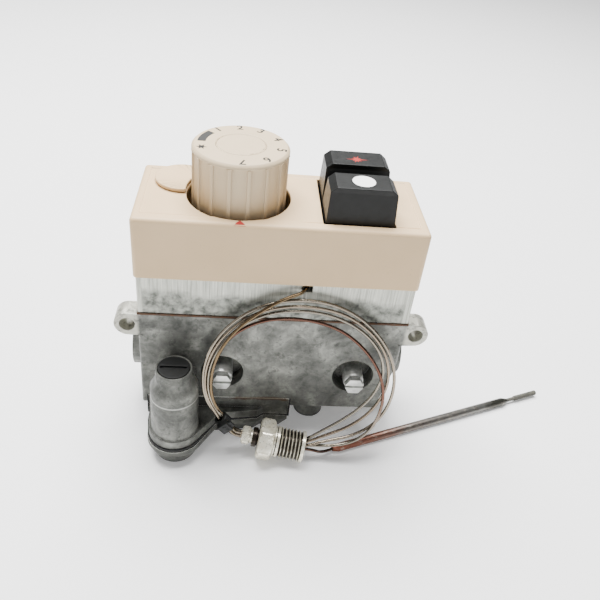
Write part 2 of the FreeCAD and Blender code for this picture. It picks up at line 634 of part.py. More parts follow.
def make_lobe_web():
    """The wedge between the tower's lobe and the casting's front face."""
    body = new_body("LobeWeb")
    drawing = sketch(body, "XY_Plane", "flange_base")
    outline(drawing, [("tower_x", "tower_y"),
                      ("tower_x + lobe_radius * sin(lobe_lean)", "tower_y - lobe_radius * cos(lobe_lean)"),
                      *FLANGE_STEP,
                      ("step_end", "body_front + 3"),
                      ("flange_left", "body_front + 3"),
                      ("tower_x - lobe_radius", "tower_y")])
    pad(body, drawing, "lobe_top - flange_base")
    return body


def pan_screw_places():
    """The four screws that hold the bottom pan."""
    return [("flange_right - 6", "-3"), ("flange_right - 6", "body_back - 8"),
            ("flange_left + 7", "-3"), ("flange_left + 7", "body_back - 8")]


def make_pan_outline(label, lobe, front_right, base, height, draft=None):
    """A plate or pan with the lower flange's outline: a block with the tower's round lobe."""
    body = new_body(label)
    drawing = sketch(body, "XY_Plane", base)
    outline(drawing, [("tower_x", "tower_y"),
                      (f"tower_x + ({lobe}) * sin(lobe_lean)", f"tower_y - ({lobe}) * cos(lobe_lean)"),
                      *front_right,
                      ("flange_right", "body_back - 2"),
                      ("flange_left", "body_back - 2"),
                      ("flange_left", "body_front - 6"),
                      (f"tower_x - ({lobe}) * cos(12)", f"tower_y - ({lobe}) * sin(12)")])
    pad(body, drawing, height, taper=draft, reverse=bool(draft))
    round_part = sketch(body, "XY_Plane", base)
    circle(round_part, "tower_x", "tower_y", lobe)
    pad(body, round_part, height, taper=draft, reverse=bool(draft))
    return body


# --- lower parts --------------------------------------------------------------------------------

def make_pan():
    """The cast bottom pan: an upright rim, then sides that draw in to the base."""
    rim_base = "diaphragm_base - pan_rim"
    front = [*FLANGE_STEP, ("flange_right", "body_front")]
    rim = make_pan_outline("PanRim", "pan_lobe_radius", front, rim_base, "pan_rim")
    bowl = make_pan_outline("PanBowl", "pan_lobe_radius", front, rim_base, rim_base, draft="-pan_draft")
    chamber = cylinder("chamber_radius", "diaphragm_base - pan_floor", "chamber_x", "chamber_y", "pan_floor")
    tower_room = cylinder("tower_neck_radius", "diaphragm_base - pan_floor", "tower_x", "tower_y",
                          "pan_floor")
    channel = box("7", "chamber_y - tower_y", "diaphragm_base - 4", "-37", "tower_y + 2", "4")
    holes = []
    for x, y in pan_screw_places():
        holes.append(cylinder("pan_screw_radius + 0.2", "20", x, y, "-1"))
        holes.append(cylinder("pan_screw_head + 0.3", "3.6", x, y, "0"))
    node("bottom_pan", cut(fuse(rim, bowl), chamber, tower_room, channel, *holes))


def make_diaphragm():
    """The black rubber sheet between the casting and the pan, with a tab turned up at each end."""
    front = [*FLANGE_STEP, ("flange_right", "body_front")]
    blank = make_pan_outline("RubberSheet", "lobe_radius + 0.5", front, "diaphragm_base",
                             "flange_base - diaphragm_base")
    tab_front = "body_front - flange_proud - 0.1"
    tabs = []
    for tab_x, root_x in (("flange_right", "flange_right - tab_width"),
                          ("flange_left - tab_width", "flange_left - tab_width")):
        tabs.append(box("tab_width", "flange_proud + 0.1", "flange_top - diaphragm_base", tab_x, tab_front,
                        "diaphragm_base"))
        tabs.append(box("2 * tab_width", "flange_proud + 1", "flange_base - diaphragm_base", root_x,
                        tab_front, "diaphragm_base"))
    holes = [cylinder("pan_screw_radius + 0.2", "3", x, y, "diaphragm_base - 1")
             for x, y in pan_screw_places()]
    holes.append(cylinder("3", "3", "tower_x", "tower_y", "diaphragm_base - 1"))
    node("rubber_diaphragm", cut(fuse(blank, *tabs), *holes))


def make_regulator():
    """Plate and stem on the diaphragm, spring, adjusting screw and slotted cap in the tower."""
    stem_base = "regulator_plate_base - regulator_stem_height"
    plate = cylinder("regulator_plate_radius - 0.6", "regulator_plate_height", "tower_x", "tower_y",
                     "regulator_plate_base")
    stem = cylinder("regulator_stem_radius", "regulator_stem_height", "tower_x", "tower_y", stem_base)
    foot = cylinder("regulator_plate_radius - 1", "regulator_plate_height", "tower_x", "tower_y",
                    f"{stem_base} - regulator_plate_height")
    node("regulator_plate", fuse(plate, stem, foot))
    node("regulator_spring", spring("regulator_spring_radius", "0.5", 7,
                                    "adjuster_base - regulator_plate_base - 1.9", "tower_x", "tower_y",
                                    "regulator_plate_base + 1.35"))
    screw = cylinder("adjuster_radius - running_gap", "adjuster_height", "tower_x", "tower_y",
                     "adjuster_base")
    node("regulator_adjuster", cut(screw, slot_tool("adjuster_radius", "adjuster_base + adjuster_height")))
    plug = cylinder("cap_radius", "cap_top - cap_base", "tower_x", "tower_y", "cap_base")
    node("regulator_cap", cut(plug, slot_tool("cap_radius - 1.2", "cap_top")))


def slot_tool(reach, top):
    """A screwdriver slot across the tower's axis."""
    return box(f"2 * ({reach})", "slot_width", "slot_depth", f"tower_x - ({reach})",
               "tower_y - slot_width / 2", f"{top} - slot_depth")


def make_main_valve():
    """The seat ring, the disc and stem that the lever pushes, and the closing spring."""
    ring = cylinder("valve_chamber_radius", "valve_seat_height", "valve_x", "dial_y", "valve_seat_base")
    hole = cylinder("valve_seat_hole", "valve_seat_height", "valve_x", "dial_y", "valve_seat_base")
    node("main_valve_seat", cut(ring, hole))
    disc_base = "valve_seat_base - 0.1 - valve_disc_height"
    disc = cylinder("valve_disc_radius", "valve_disc_height", "valve_x", "dial_y", disc_base)
    stem = cylinder("valve_stem_radius", f"lever_pivot_z - lever_bar / 2 - 0.1 - ({disc_base})",
                    "valve_x", "dial_y", disc_base)
    node("main_valve_disc", fuse(disc, stem))
    node("main_valve_spring", spring("4", "0.4", 5, f"{disc_base} - valve_chamber_base - 1",
                                     "valve_x", "dial_y", "valve_chamber_base + 0.45"))


def make_flame_failure_unit():
    """The magnet unit in its nut, the safety disc above it and the disc's spring."""
    disc = cylinder("safety_disc_radius", "safety_disc_height", "magnet_x", "magnet_y",
                    "safety_disc_top - safety_disc_height")
    stem = cylinder("1.3", "5", "magnet_x", "magnet_y", "safety_disc_top - safety_disc_height - 5")
    node("safety_valve_disc", fuse(disc, stem))
    node("safety_valve_spring", spring("3.6", "0.35", 6,
                                       "safety_disc_top - safety_disc_height - magnet_top - 1",
                                       "magnet_x", "magnet_y", "magnet_top + 0.5"))
    can = cylinder("magnet_bore_radius - 0.1", "magnet_top - body_base", "magnet_x", "magnet_y", "body_base")
    well = cylinder("1.6", "7", "magnet_x", "magnet_y", "magnet_top - 7")
    node("magnet_unit", cut(can, well))
    shank = cylinder("magnet_bore_radius", "body_base - magnet_shank_base", "magnet_x", "magnet_y",
                     "magnet_shank_base")
    head = hexagon("magnet_nut_flats", "magnet_shank_base - magnet_nut_base", "magnet_x", "magnet_y",
                   "magnet_nut_base")
    socket = cylinder("thermocouple_radius", "12", "magnet_x", "magnet_y", "magnet_nut_base - 1")
    node("magnet_nut", cut(fuse(shank, head), socket))


def make_test_nipples():
    """Two pressure-test nipples in the front pockets, each closed by a slotted hexagon screw."""
    for side, x in (("inlet", "left_pocket_x"), ("outlet", "right_pocket_x")):
        root = "(body_front + pocket_depth)"
        base = cylinder("nipple_radius", f"{root} - nipple_end - 1.2", x, root, "pocket_z", FRONT)
        mouth = cone("nipple_radius", "nipple_radius - 0.5", "1.2", x, "nipple_end + 1.2", "pocket_z", FRONT)
        bore = cylinder("nipple_bore_radius", "30", x, f"{root} + 1", "pocket_z", FRONT)
        node(f"{side}_test_nipple", cut(fuse(base, mouth), bore))
        shank = cylinder("test_screw_radius", "test_screw_length", x, "nipple_end + test_screw_length - 0.5",
                         "pocket_z", FRONT)
        head = hexagon("test_head_flats", "test_head", x, "nipple_end - 0.05", "pocket_z", FRONT)
        slot = box("test_head_flats * 1.3", "test_slot_depth", "test_slot_width",
                   f"{x} - test_head_flats * 0.65", "nipple_end - test_head - 0.05",
                   "pocket_z - test_slot_width / 2")
        node(f"{side}_test_screw", cut(fuse(shank, head), slot))


def make_small_parts():
    """Inlet filter, pilot outlet and its adjusting screw, body screws and pan screws."""
    node("inlet_filter", cylinder("passage_radius - 0.05", "0.6", "port_depth - port_face + 0.2", "port_y",
                                  "port_height", RIGHT))
    stem = cylinder("pilot_radius - 0.05", "7", "pilot_x", "pilot_y", "body_base")
    nut = hexagon("pilot_nut_flats", "pilot_nut_height", "pilot_x", "pilot_y",
                  "body_base - pilot_nut_height")
    bore = cylinder("pilot_bore_radius", "14", "pilot_x", "pilot_y", "body_base - pilot_nut_height - 0.5")
    node("pilot_outlet_nut", cut(fuse(stem, nut), bore))
    screw = cylinder("pilot_screw_radius", "pilot_screw_length", "pilot_screw_x",
                     "body_back - pilot_screw_length - 1", "pilot_screw_z", BACK)
    slot = box("8", "1", "0.9", "pilot_screw_x - 4", "body_back - 2", "pilot_screw_z - 0.45")
    node("pilot_adjusting_screw", cut(screw, slot))
    screws = []
    for x in ("body_screw_x", "-body_screw_x"):
        for y in ("body_screw_front", "body_screw_back"):
            shank = cylinder("body_screw_radius - 0.1", "cover_base - body_top + body_screw_depth - 2",
                             x, y, "body_top - body_screw_depth + 2")
            head = cylinder("body_screw_head", "2.4", x, y, "cover_base")
            recess = hexagon("3", "1.6", x, y, "cover_base + 0.8")
            screws.append(cut(fuse(shank, head), recess))
    node("body_screws", group(*screws))
    screws = []
    for x, y in pan_screw_places():
        shank = cylinder("pan_screw_radius - 0.1", "pan_screw_length", x, y, "3.4")
        head = cylinder("pan_screw_head", "2.2", x, y, "1.4")
        recess = hexagon("2.5", "1.2", x, y, "1.4")
        screws.append(cut(fuse(shank, head), recess))
    node("pan_screws", group(*screws))


# --- capillary ----------------------------------------------------------------------------------

# The whole coil lies in one plane that leans on the front of the valve.
COIL_LEAN = 0.2
COIL_REST = -28.6


def on_coil_plane(x, z):
    """The point of the leaning plane at this width and height."""
    return Vector(x, COIL_REST + COIL_LEAN * z, z)


LEAD_ROUTE = [Vector(12.4, -6.5, 82), Vector(10.6, -12.3, 81.7), on_coil_plane(4.5, 79.8),
              on_coil_plane(-1.4, 76.9), on_coil_plane(-7.5, 72.6)]
TAIL_ROUTE = [Vector(16.9, -26.8, 7.7), Vector(20.6, -27.3, 6.4), Vector(25.2, -25.6, 2.6),
              Vector(30.3, -22.8, 2)]
GLAND_START = Vector(-11, -23, 10.6)
GLAND_END = Vector(16.6, -26.8, 7.6)
TIE_MIDDLE = Vector(-19.4, -23.6, 20)
BULB_HEADING = Vector(0.9377, 0.3476, 0).normalize()


def tube(label, route, radius):
    """A cord's tube: straight runs joined by tangent arcs, each as large as its two runs allow."""
    edges = []
    start = route[0]
    for before, point, after in zip(route, route[1:], route[2:]):
        incoming = (point - before).normalize()
        outgoing = (after - point).normalize()
        half_turn = incoming.getAngle(outgoing) / 2
        trim = 0.45 * min((point - before).Length, (after - point).Length)
        bend_radius = trim / math.tan(half_turn)
        print(f"{label}: arc radius {bend_radius:.1f} mm")
        entry = point - incoming * trim
        leaving = point + outgoing * trim
        inward = (outgoing - incoming).normalize()
        middle = point + inward * (bend_radius / math.cos(half_turn) - bend_radius)
        edges.append(Part.LineSegment(start, entry).toShape())
        edges.append(Part.Arc(entry, middle, leaving).toShape())
        start = leaving
    edges.append(Part.LineSegment(start, route[-1]).toShape())
    path = Part.Wire(edges)
    heading = (route[1] - route[0]).normalize()
    section = Part.Wire([Part.Circle(route[0], heading, radius).toShape()])
    solid = path.makePipeShell([section], True, True)
    expected = math.pi * radius ** 2 * path.Length
    if abs(solid.Volume - expected) > 0.02 * expected:
        raise ValueError(f"{label} has the wrong volume")
    print(f"{label}: length {path.Length:.1f} mm")
    return solid


def add_shape(label, shape):
    item = doc.addObject("Part::Feature", label)
    item.Shape = shape
    return node(label, item)


def make_coil():
    """The outer shape of the four turns: a flat open ring in the leaning plane."""
    outer = [(-21.6, 23.8), (-29.4, 41), (-14.4, 71.4), (12, 78.4), (35.4, 70.8), (48.9, 51), (52.3, 34),
             (44, 16.2), (18.6, 10.2)]
    inner = [(18.6, 13.8), (37.4, 26.4), (44.4, 40), (36.4, 55), (18, 66), (-2, 66.6), (-16.6, 56),
             (-24.2, 42), (-18.6, 25.2)]
    edges = []
    for chain in (outer, inner):
        points = [on_coil_plane(x, z) for x, z in chain]
        for number in range(0, len(points) - 2, 2):
            edges.append(Part.Arc(*points[number:number + 3]).toShape())
    edges.append(Part.LineSegment(on_coil_plane(*outer[-1]), on_coil_plane(*inner[0])).toShape())
    edges.append(Part.LineSegment(on_coil_plane(*inner[-1]), on_coil_plane(*outer[0])).toShape())
    face = Part.Face(Part.Wire(Part.__sortEdges__(edges)))
    normal = Vector(0, -1, COIL_LEAN).normalize()
    thickness = size("coil_thickness")
    face.translate(normal * (-thickness / 2))
    add_shape("capillary_coil", face.extrude(normal * thickness))


def turned(start, heading, profile):
    """A turned piece along a heading: (distance, length, radius) for each stretch."""
    stretches = [Part.makeCylinder(radius, length, start + heading * distance, heading)
                 for distance, length, radius in profile]
    return stretches[0].fuse(stretches[1:]).removeSplitter()


def hexagon_on(start, heading, distance, length, flats):
    """A hexagonal stretch along a heading, with a flat facing down."""
    side = heading.cross(Vector(0, 0, 1)).normalize()
    rise = side.cross(heading)
    middle = start + heading * distance
    corners = []
    for number in range(7):
        turn = math.radians(60 * number)
        corners.append(middle + (side * math.cos(turn) + rise * math.sin(turn)) * (flats / math.sqrt(3)))
    return Part.Face(Part.makePolygon(corners)).extrude(heading * length)


def make_gland():
    """The threaded gland, its packing and its small nut, all around the capillary."""
    heading = (GLAND_END - GLAND_START).normalize()
    length = (GLAND_END - GLAND_START).Length
    bore_radius = size("gland_bore_radius")
    thread_radius = size("gland_thread_radius")
    bore = Part.makeCylinder(bore_radius, length + 2, GLAND_START - heading, heading)
    body = turned(GLAND_START, heading, [(4.6, 3, 4.3), (14, 1.6, thread_radius - 0.9),
                                         (15.6, length - 15.6, thread_radius)])
    body = body.fuse(hexagon_on(GLAND_START, heading, 7.6, 6.4, size("gland_flats")))
    mouth = Part.makeCylinder(thread_radius - 2.4, 9, GLAND_END - heading * 8.9, heading)
    packing_room = Part.makeCylinder(3.4, 3, GLAND_START + heading * 4.6, heading)
    add_shape("gland_body", body.cut(bore).cut(mouth).cut(packing_room))
    packing = Part.makeCylinder(3.4, 2.4, GLAND_START + heading * 5.2, heading)
    add_shape("gland_packing", packing.cut(bore))
    nut = hexagon_on(GLAND_START, heading, 0, 3.9, size("gland_nut_flats"))
    nut = nut.fuse(Part.makeCylinder(3.1, 1.3, GLAND_START + heading * 3.9, heading))
    add_shape("gland_nut", nut.cut(bore))


def make_bulb():
    """The sensing bulb, with its drawn-in neck and crimped filling tip."""
    start = TAIL_ROUTE[-1]
    radius = size("bulb_radius")
    length = size("bulb_length")
    nose = Part.makeCone(radius * 0.55, radius, 3, start, BULB_HEADING)
    barrel = Part.makeCylinder(radius, length - 6, start + BULB_HEADING * 3, BULB_HEADING)
    shoulder = Part.makeCone(radius, radius * 0.5, 3, start + BULB_HEADING * (length - 3), BULB_HEADING)
    add_shape("sensing_bulb", nose.fuse([barrel, shoulder]).removeSplitter())
    neck_start = start + BULB_HEADING * length
    neck = Part.makeCylinder(radius * 0.45, 5, neck_start, BULB_HEADING)
    crimp = Part.makeCylinder(radius * 0.62, 13.5, neck_start + BULB_HEADING * 5, BULB_HEADING)
    add_shape("bulb_filling_tip", neck.fuse(crimp).removeSplitter())


def make_tie():
    """The black cable tie that holds the turns together, with its square head."""
    heading = (GLAND_START - TIE_MIDDLE + Vector(-3.5, 0, 3)).normalize()
    width = size("tie_width")
    start = TIE_MIDDLE - heading * (width / 2)
    inner = size("bundle_radius") + 0.05
    head_side = size("tie_head")
    band = Part.makeCylinder(inner + size("tie_band"), width, start, heading)
    head = Part.makeBox(head_side, size("tie_head_depth"), head_side)
    head.translate(TIE_MIDDLE + Vector(-1.6, -4.6, -1.3))
    hole = Part.makeCylinder(inner, width + 12, start - heading * 6, heading)
    add_shape("cable_tie", band.fuse(head).cut(hole).removeSplitter())


def make_capillary():
    """The capillary outside the valve: lead, coil, the bundle through tie and gland, and tail."""
    radius = size("capillary_radius")
    add_shape("capillary_lead", tube("capillary_lead", LEAD_ROUTE, radius))
    make_coil()
    heading = (GLAND_END - GLAND_START).normalize()
    between = TIE_MIDDLE * 0.45 + GLAND_START * 0.55 + Vector(-1, 0, -1)
    bundle_route = [on_coil_plane(-20.5, 24.8), TIE_MIDDLE, between, GLAND_START - heading * 2.5,
                    GLAND_END - heading * 2.6, on_coil_plane(19.4, 10.6)]
    add_shape("capillary_bundle", tube("capillary_bundle", bundle_route, size("bundle_radius")))
    add_shape("capillary_tail", tube("capillary_tail", TAIL_ROUTE, radius))
    inner_route = [LEAD_ROUTE[0], LEAD_ROUTE[0] * 1.7 - LEAD_ROUTE[1] * 0.7, Vector(13.4, 0.9, 77),
                   Vector(5, 7, 74), Vector(-8.9, 11, 74.6)]
    add_shape("capillary_inner_run", tube("capillary_inner_run", inner_route, radius))


def make_parts():
    make_cover()
    make_blanking_plug()
    make_dial()
    make_spindle()
    make_bush()
    make_key("off_key", "key_front_y", -1)
    make_key("ignition_key", "key_back_y", 1)
    make_key_guide()
    make_plunger("off_plunger", "key_front_y", "off_plunger_base")
    make_plunger("ignition_plunger", "key_back_y", "safety_disc_top + 0.1")
    make_key_springs()
    make_housing()
    make_gasket()
    make_bellows()
    make_lever()
    make_valve_body()
    make_pan()
    make_diaphragm()
    make_regulator()
    make_main_valve()
    make_flame_failure_unit()
    make_test_nipples()
    make_small_parts()
    make_capillary()
    make_gland()
    make_bulb()
    make_tie()


def check_document():
    """Stops when any object has failed or any sub-part isn't a sound solid."""
    doc.recompute()
    for item in doc.Objects:
        if {"Invalid", "Error"} & set(item.State):
            raise ValueError(f"{item.Name} ({item.Label}) failed: {item.State}")
    for label, item in NODES.items():
        shape = item.Shape
        if shape.isNull() or not shape.isValid() or not shape.Solids:
            raise ValueError(f"{label} has no valid solid")


def write_parts():
    os.makedirs("parts", exist_ok=True)
    for label, item in NODES.items():
        item.Shape.exportStep(os.path.join("parts", f"{label}.step"))
        solids = item.Shape.Solids
        print(f"{label}: {len(solids)} solid(s), {item.Shape.Volume:.0f} mm3")


make_parts()
check_document()
write_parts()
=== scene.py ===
"""Looks of a gas control valve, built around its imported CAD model.

Lengths in the tables below are millimetres in the CAD model's own frame: +X to the gas outlet,
-Y to the front, +Z up, with the floor at z = 0. MM turns them into Blender's metres.
"""

import math

import bmesh
import bpy
from mathutils import Matrix, Vector, noise


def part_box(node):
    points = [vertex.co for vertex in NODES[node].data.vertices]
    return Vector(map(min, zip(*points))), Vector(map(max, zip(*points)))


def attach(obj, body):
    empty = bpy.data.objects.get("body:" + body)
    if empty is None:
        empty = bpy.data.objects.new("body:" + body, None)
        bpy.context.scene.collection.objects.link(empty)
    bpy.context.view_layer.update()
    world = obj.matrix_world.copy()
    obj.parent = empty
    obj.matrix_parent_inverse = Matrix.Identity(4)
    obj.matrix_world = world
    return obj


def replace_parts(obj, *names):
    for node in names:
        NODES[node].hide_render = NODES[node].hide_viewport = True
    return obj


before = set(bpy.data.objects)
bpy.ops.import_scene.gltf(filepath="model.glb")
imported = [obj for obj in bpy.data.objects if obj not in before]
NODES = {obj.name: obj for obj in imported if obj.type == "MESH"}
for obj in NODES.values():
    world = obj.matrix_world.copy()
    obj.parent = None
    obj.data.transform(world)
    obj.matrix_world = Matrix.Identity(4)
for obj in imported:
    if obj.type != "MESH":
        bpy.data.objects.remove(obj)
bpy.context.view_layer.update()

MM = 0.001

# Where the gland and the cable tie hold the capillary's turns.
GLAND_START = Vector((-11, -23, 10.6))
GLAND_END = Vector((16.6, -26.8, 7.6))
GLAND_HEADING = (GLAND_END - GLAND_START).normalized()
TIE_MIDDLE = Vector((-19.4, -23.6, 20))

# --- camera, floor and light ----------------------------------------------------------------------

CAMERA_PLACE = (-16.49, -218.74, 233.25)
CAMERA_YAW, CAMERA_PITCH, CAMERA_ROLL = -7.0, 36.75, 6.87
CAMERA_LENS = 39.41

# These are in metres: the floor reaches this far each way, and the lamps face this point.
FLOOR_REACH = 3.0
LAMP_TARGET = Vector((0, 0, 0.06))
# name: (place in metres, width in metres, power in watts)
LAMPS = {
    "overhead": (Vector((-0.1, 0.3, 1.0)), 0.8, 52),
    "front": (Vector((0.3, -0.9, 0.45)), 0.5, 1.5),
    "left_side": (Vector((-0.8, -0.25, 0.4)), 0.5, 1.0),
}
FLOOR_SHADE = 0.85
FLOOR_GLOW = 0.2
SURROUND_LIGHT = 0.3
SURROUND_SEEN = 1.6


def make_camera():
    """A camera that looks down at the front of the valve."""
    data = bpy.data.cameras.new("Camera")
    data.lens = CAMERA_LENS
    camera = bpy.data.objects.new("Camera", data)
    bpy.context.scene.collection.objects.link(camera)
    yaw = Matrix.Rotation(math.radians(CAMERA_YAW), 4, "Z")
    pitch = Matrix.Rotation(math.radians(90 - CAMERA_PITCH), 4, "X")
    roll = Matrix.Rotation(math.radians(CAMERA_ROLL), 4, "Z")
    camera.matrix_world = Matrix.Translation(Vector(CAMERA_PLACE) * MM) @ yaw @ pitch @ roll
    bpy.context.scene.camera = camera


def make_floor():
    """A plain white floor, large enough to fill every view."""
    mesh = bpy.data.meshes.new("floor")
    corners = [(FLOOR_REACH * x, FLOOR_REACH * y, 0) for x, y in ((-1, -1), (1, -1), (1, 1), (-1, 1))]
    mesh.from_pydata(corners, [], [(0, 1, 2, 3)])
    floor = bpy.data.objects.new("floor", mesh)
    bpy.context.scene.collection.objects.link(floor)
    recipe = Recipe("floor_white")
    recipe.surface.inputs["Base Color"].default_value = (FLOOR_SHADE, FLOOR_SHADE, FLOOR_SHADE, 1)
    recipe.surface.inputs["Roughness"].default_value = 0.9
    recipe.surface.inputs["Emission Color"].default_value = (1, 1, 1, 1)
    recipe.surface.inputs["Emission Strength"].default_value = FLOOR_GLOW
    mesh.materials.append(recipe.material)


def make_lamps():
    """Soft square lamps that all face the valve: a wide one overhead and weaker ones beside it."""
    for name, (place, width, power) in LAMPS.items():
        data = bpy.data.lights.new(name, "AREA")
        data.size = width
        data.energy = power
        lamp = bpy.data.objects.new(name, data)
        bpy.context.scene.collection.objects.link(lamp)
        lamp.location = place
        lamp.rotation_euler = (LAMP_TARGET - place).to_track_quat("-Z", "Y").to_euler()


def make_surround():
    """A white surround that lights less than the camera sees, so that the valve keeps its contrast."""
    world = bpy.data.worlds.new("surround")
    world.use_nodes = True
    background = world.node_tree.nodes["Background"]
    background.inputs["Color"].default_value = (1, 1, 1, 1)
    rays = world.node_tree.nodes.new("ShaderNodeLightPath")
    strength = world.node_tree.nodes.new("ShaderNodeMapRange")
    strength.inputs["To Min"].default_value = SURROUND_LIGHT
    strength.inputs["To Max"].default_value = SURROUND_SEEN
    world.node_tree.links.new(rays.outputs["Is Camera Ray"], strength.inputs["Value"])
    world.node_tree.links.new(strength.outputs["Result"], background.inputs["Strength"])
    bpy.context.scene.world = world


# --- material recipes -----------------------------------------------------------------------------

def srgb(red, green, blue):
    """A colour given as 0 to 255 display values, in the linear values that shaders use."""
    def linear(value):
        share = value / 255
        return share / 12.92 if share <= 0.04045 else ((share + 0.055) / 1.055) ** 2.4
    return (linear(red), linear(green), linear(blue), 1)


def dimmed(colour, share):
    """A display colour at this share of its values."""
    return srgb(*[value * share for value in colour])


class Recipe:
    """A material and short calls for the nodes that it is made of. Texture scales are per mm."""

    # The Mix node's sockets for colours share their names with its other sockets.
    MIX_FIRST, MIX_SECOND, MIX_RESULT = 6, 7, 2
    EDGE_SAMPLES = 6

    def __init__(self, name):
        self.material = bpy.data.materials.new(name)
        self.material.use_nodes = True
        self.nodes = self.material.node_tree.nodes
        self.links = self.material.node_tree.links
        self.surface = self.nodes["Principled BSDF"]

    def feed(self, socket, value):
        """Links a node's output to a socket, or sets a plain value on it."""
        if isinstance(value, bpy.types.NodeSocket):
            self.links.new(value, socket)
        else:
            socket.default_value = value

    def place(self, stretch=(1, 1, 1)):
        """The point on the piece in mm, stretched along its axes."""
        point = self.nodes.new("ShaderNodeTexCoord")
        mapping = self.nodes.new("ShaderNodeMapping")
        mapping.inputs["Scale"].default_value = [share / MM for share in stretch]
        self.links.new(point.outputs["Object"], mapping.inputs["Vector"])
        return mapping.outputs["Vector"]

    def axis(self, letter):
        """One coordinate of the point in mm."""
        split = self.nodes.new("ShaderNodeSeparateXYZ")
        self.links.new(self.place(), split.inputs["Vector"])
        return split.outputs[letter]

    def noise(self, scale, detail=4, roughness=0.55, stretch=(1, 1, 1), distortion=0):
        """A cloudy value, mostly between 0.3 and 0.7."""
        node = self.nodes.new("ShaderNodeTexNoise")
        node.inputs["Scale"].default_value = scale
        node.inputs["Detail"].default_value = detail
        node.inputs["Roughness"].default_value = roughness
        node.inputs["Distortion"].default_value = distortion
        self.links.new(self.place(stretch), node.inputs["Vector"])
        return node.outputs["Fac"]

    def ramp(self, factor, *stops):
        """Turns a factor into colours, given as (position, colour) stops."""
        node = self.nodes.new("ShaderNodeValToRGB")
        elements = node.color_ramp.elements
        for element, (position, colour) in zip(elements, (stops[0], stops[-1])):
            element.position = position
            element.color = colour
        for position, colour in stops[1:-1]:
            elements.new(position).color = colour
        self.links.new(factor, node.inputs["Fac"])
        return node.outputs["Color"]

    def span(self, factor, low, high, to_low=0.0, to_high=1.0):
        """Stretches a factor's span low..high to another span, and stops at its ends."""
        node = self.nodes.new("ShaderNodeMapRange")
        self.links.new(factor, node.inputs["Value"])
        ends = {"From Min": low, "From Max": high, "To Min": to_low, "To Max": to_high}
        for name, value in ends.items():
            node.inputs[name].default_value = value
        return node.outputs["Result"]

    def uneven(self, scale, low, high, detail=4):
        """A value that drifts between two limits over the piece."""
        return self.span(self.noise(scale, detail), 0.3, 0.7, low, high)

    def combine(self, operation, first, second):
        """A Math node's result."""
        node = self.nodes.new("ShaderNodeMath")
        node.operation = operation
        for socket, value in zip(node.inputs, (first, second)):
            self.feed(socket, value)
        return node.outputs["Value"]

    def where(self, *masks):
        """The masks multiplied together: 1 only where each of them is."""
        product = masks[0]
        for mask in masks[1:]:
            product = self.combine("MULTIPLY", product, mask)
        return product

    def mix(self, factor, first, second):
        """The first colour where the factor is 0, and the second where it is 1."""
        node = self.nodes.new("ShaderNodeMix")
        node.data_type = "RGBA"
        self.feed(node.inputs["Factor"], factor)
        self.feed(node.inputs[self.MIX_FIRST], first)
        self.feed(node.inputs[self.MIX_SECOND], second)
        return node.outputs[self.MIX_RESULT]

    def edge_highlight(self, reach):
        """1 on edges and 0 on faces further than this many mm from one: where edges get a painted highlight.
        """
        rounded = self.nodes.new("ShaderNodeBevel")
        rounded.samples = self.EDGE_SAMPLES
        rounded.inputs["Radius"].default_value = reach * MM
        flat = self.nodes.new("ShaderNodeNewGeometry")
        likeness = self.nodes.new("ShaderNodeVectorMath")
        likeness.operation = "DOT_PRODUCT"
        self.links.new(rounded.outputs["Normal"], likeness.inputs[0])
        self.links.new(flat.outputs["Normal"], likeness.inputs[1])
        bend = self.combine("SUBTRACT", 1.0, likeness.outputs["Value"])
        return self.span(bend, 0.03, 0.25)

    def crevice_shade(self, reach, low, high):
        """1 deep in grooves and corners and 0 in the open: where painted shade goes."""
        node = self.nodes.new("ShaderNodeAmbientOcclusion")
        node.samples = self.EDGE_SAMPLES
        node.inputs["Distance"].default_value = reach * MM
        return self.span(node.outputs["AO"], low, high, 1, 0)

    def bump(self, height, strength, distance):
        """Adds relief from a height, with its full height given in mm."""
        node = self.nodes.new("ShaderNodeBump")
        node.inputs["Strength"].default_value = strength
        node.inputs["Distance"].default_value = distance * MM
        self.links.new(height, node.inputs["Height"])
        previous = self.surface.inputs["Normal"].links
        if previous:
            self.links.new(previous[0].from_socket, node.inputs["Normal"])
        self.links.new(node.outputs["Normal"], self.surface.inputs["Normal"])

    def finish(self, colour, roughness, metallic=0.0):
        """Sets what the surface shows, and gives back the material."""
        self.feed(self.surface.inputs["Base Color"], colour)
        self.feed(self.surface.inputs["Roughness"], roughness)
        self.surface.inputs["Metallic"].default_value = metallic
        return self.material


def beige_plastic(name, tint):
    """Satin moulded plastic: cloudy colour, a fine spark-eroded grain, specks and paler edges that are a
    painted highlight.
    """
    recipe = Recipe(name)
    shaded = srgb(*[value - 6 for value in tint])
    highlit_edge = srgb(*[min(255, value + 24) for value in tint])
    base = recipe.ramp(recipe.noise(0.05, detail=3), (0.3, shaded), (0.7, srgb(*tint)))
    # Paler edges: a painted highlight.
    colour = recipe.mix(recipe.edge_highlight(0.7), base, highlit_edge)
    speck = recipe.span(recipe.noise(1.3, detail=2), 0.70, 0.76, 0, 0.3)
    colour = recipe.mix(speck, colour, srgb(128, 104, 76))
    recipe.bump(recipe.noise(2.6, detail=3), 0.3, 0.03)
    recipe.surface.inputs["Specular IOR Level"].default_value = 0.35
    return recipe.finish(colour, recipe.uneven(0.4, 0.42, 0.55))


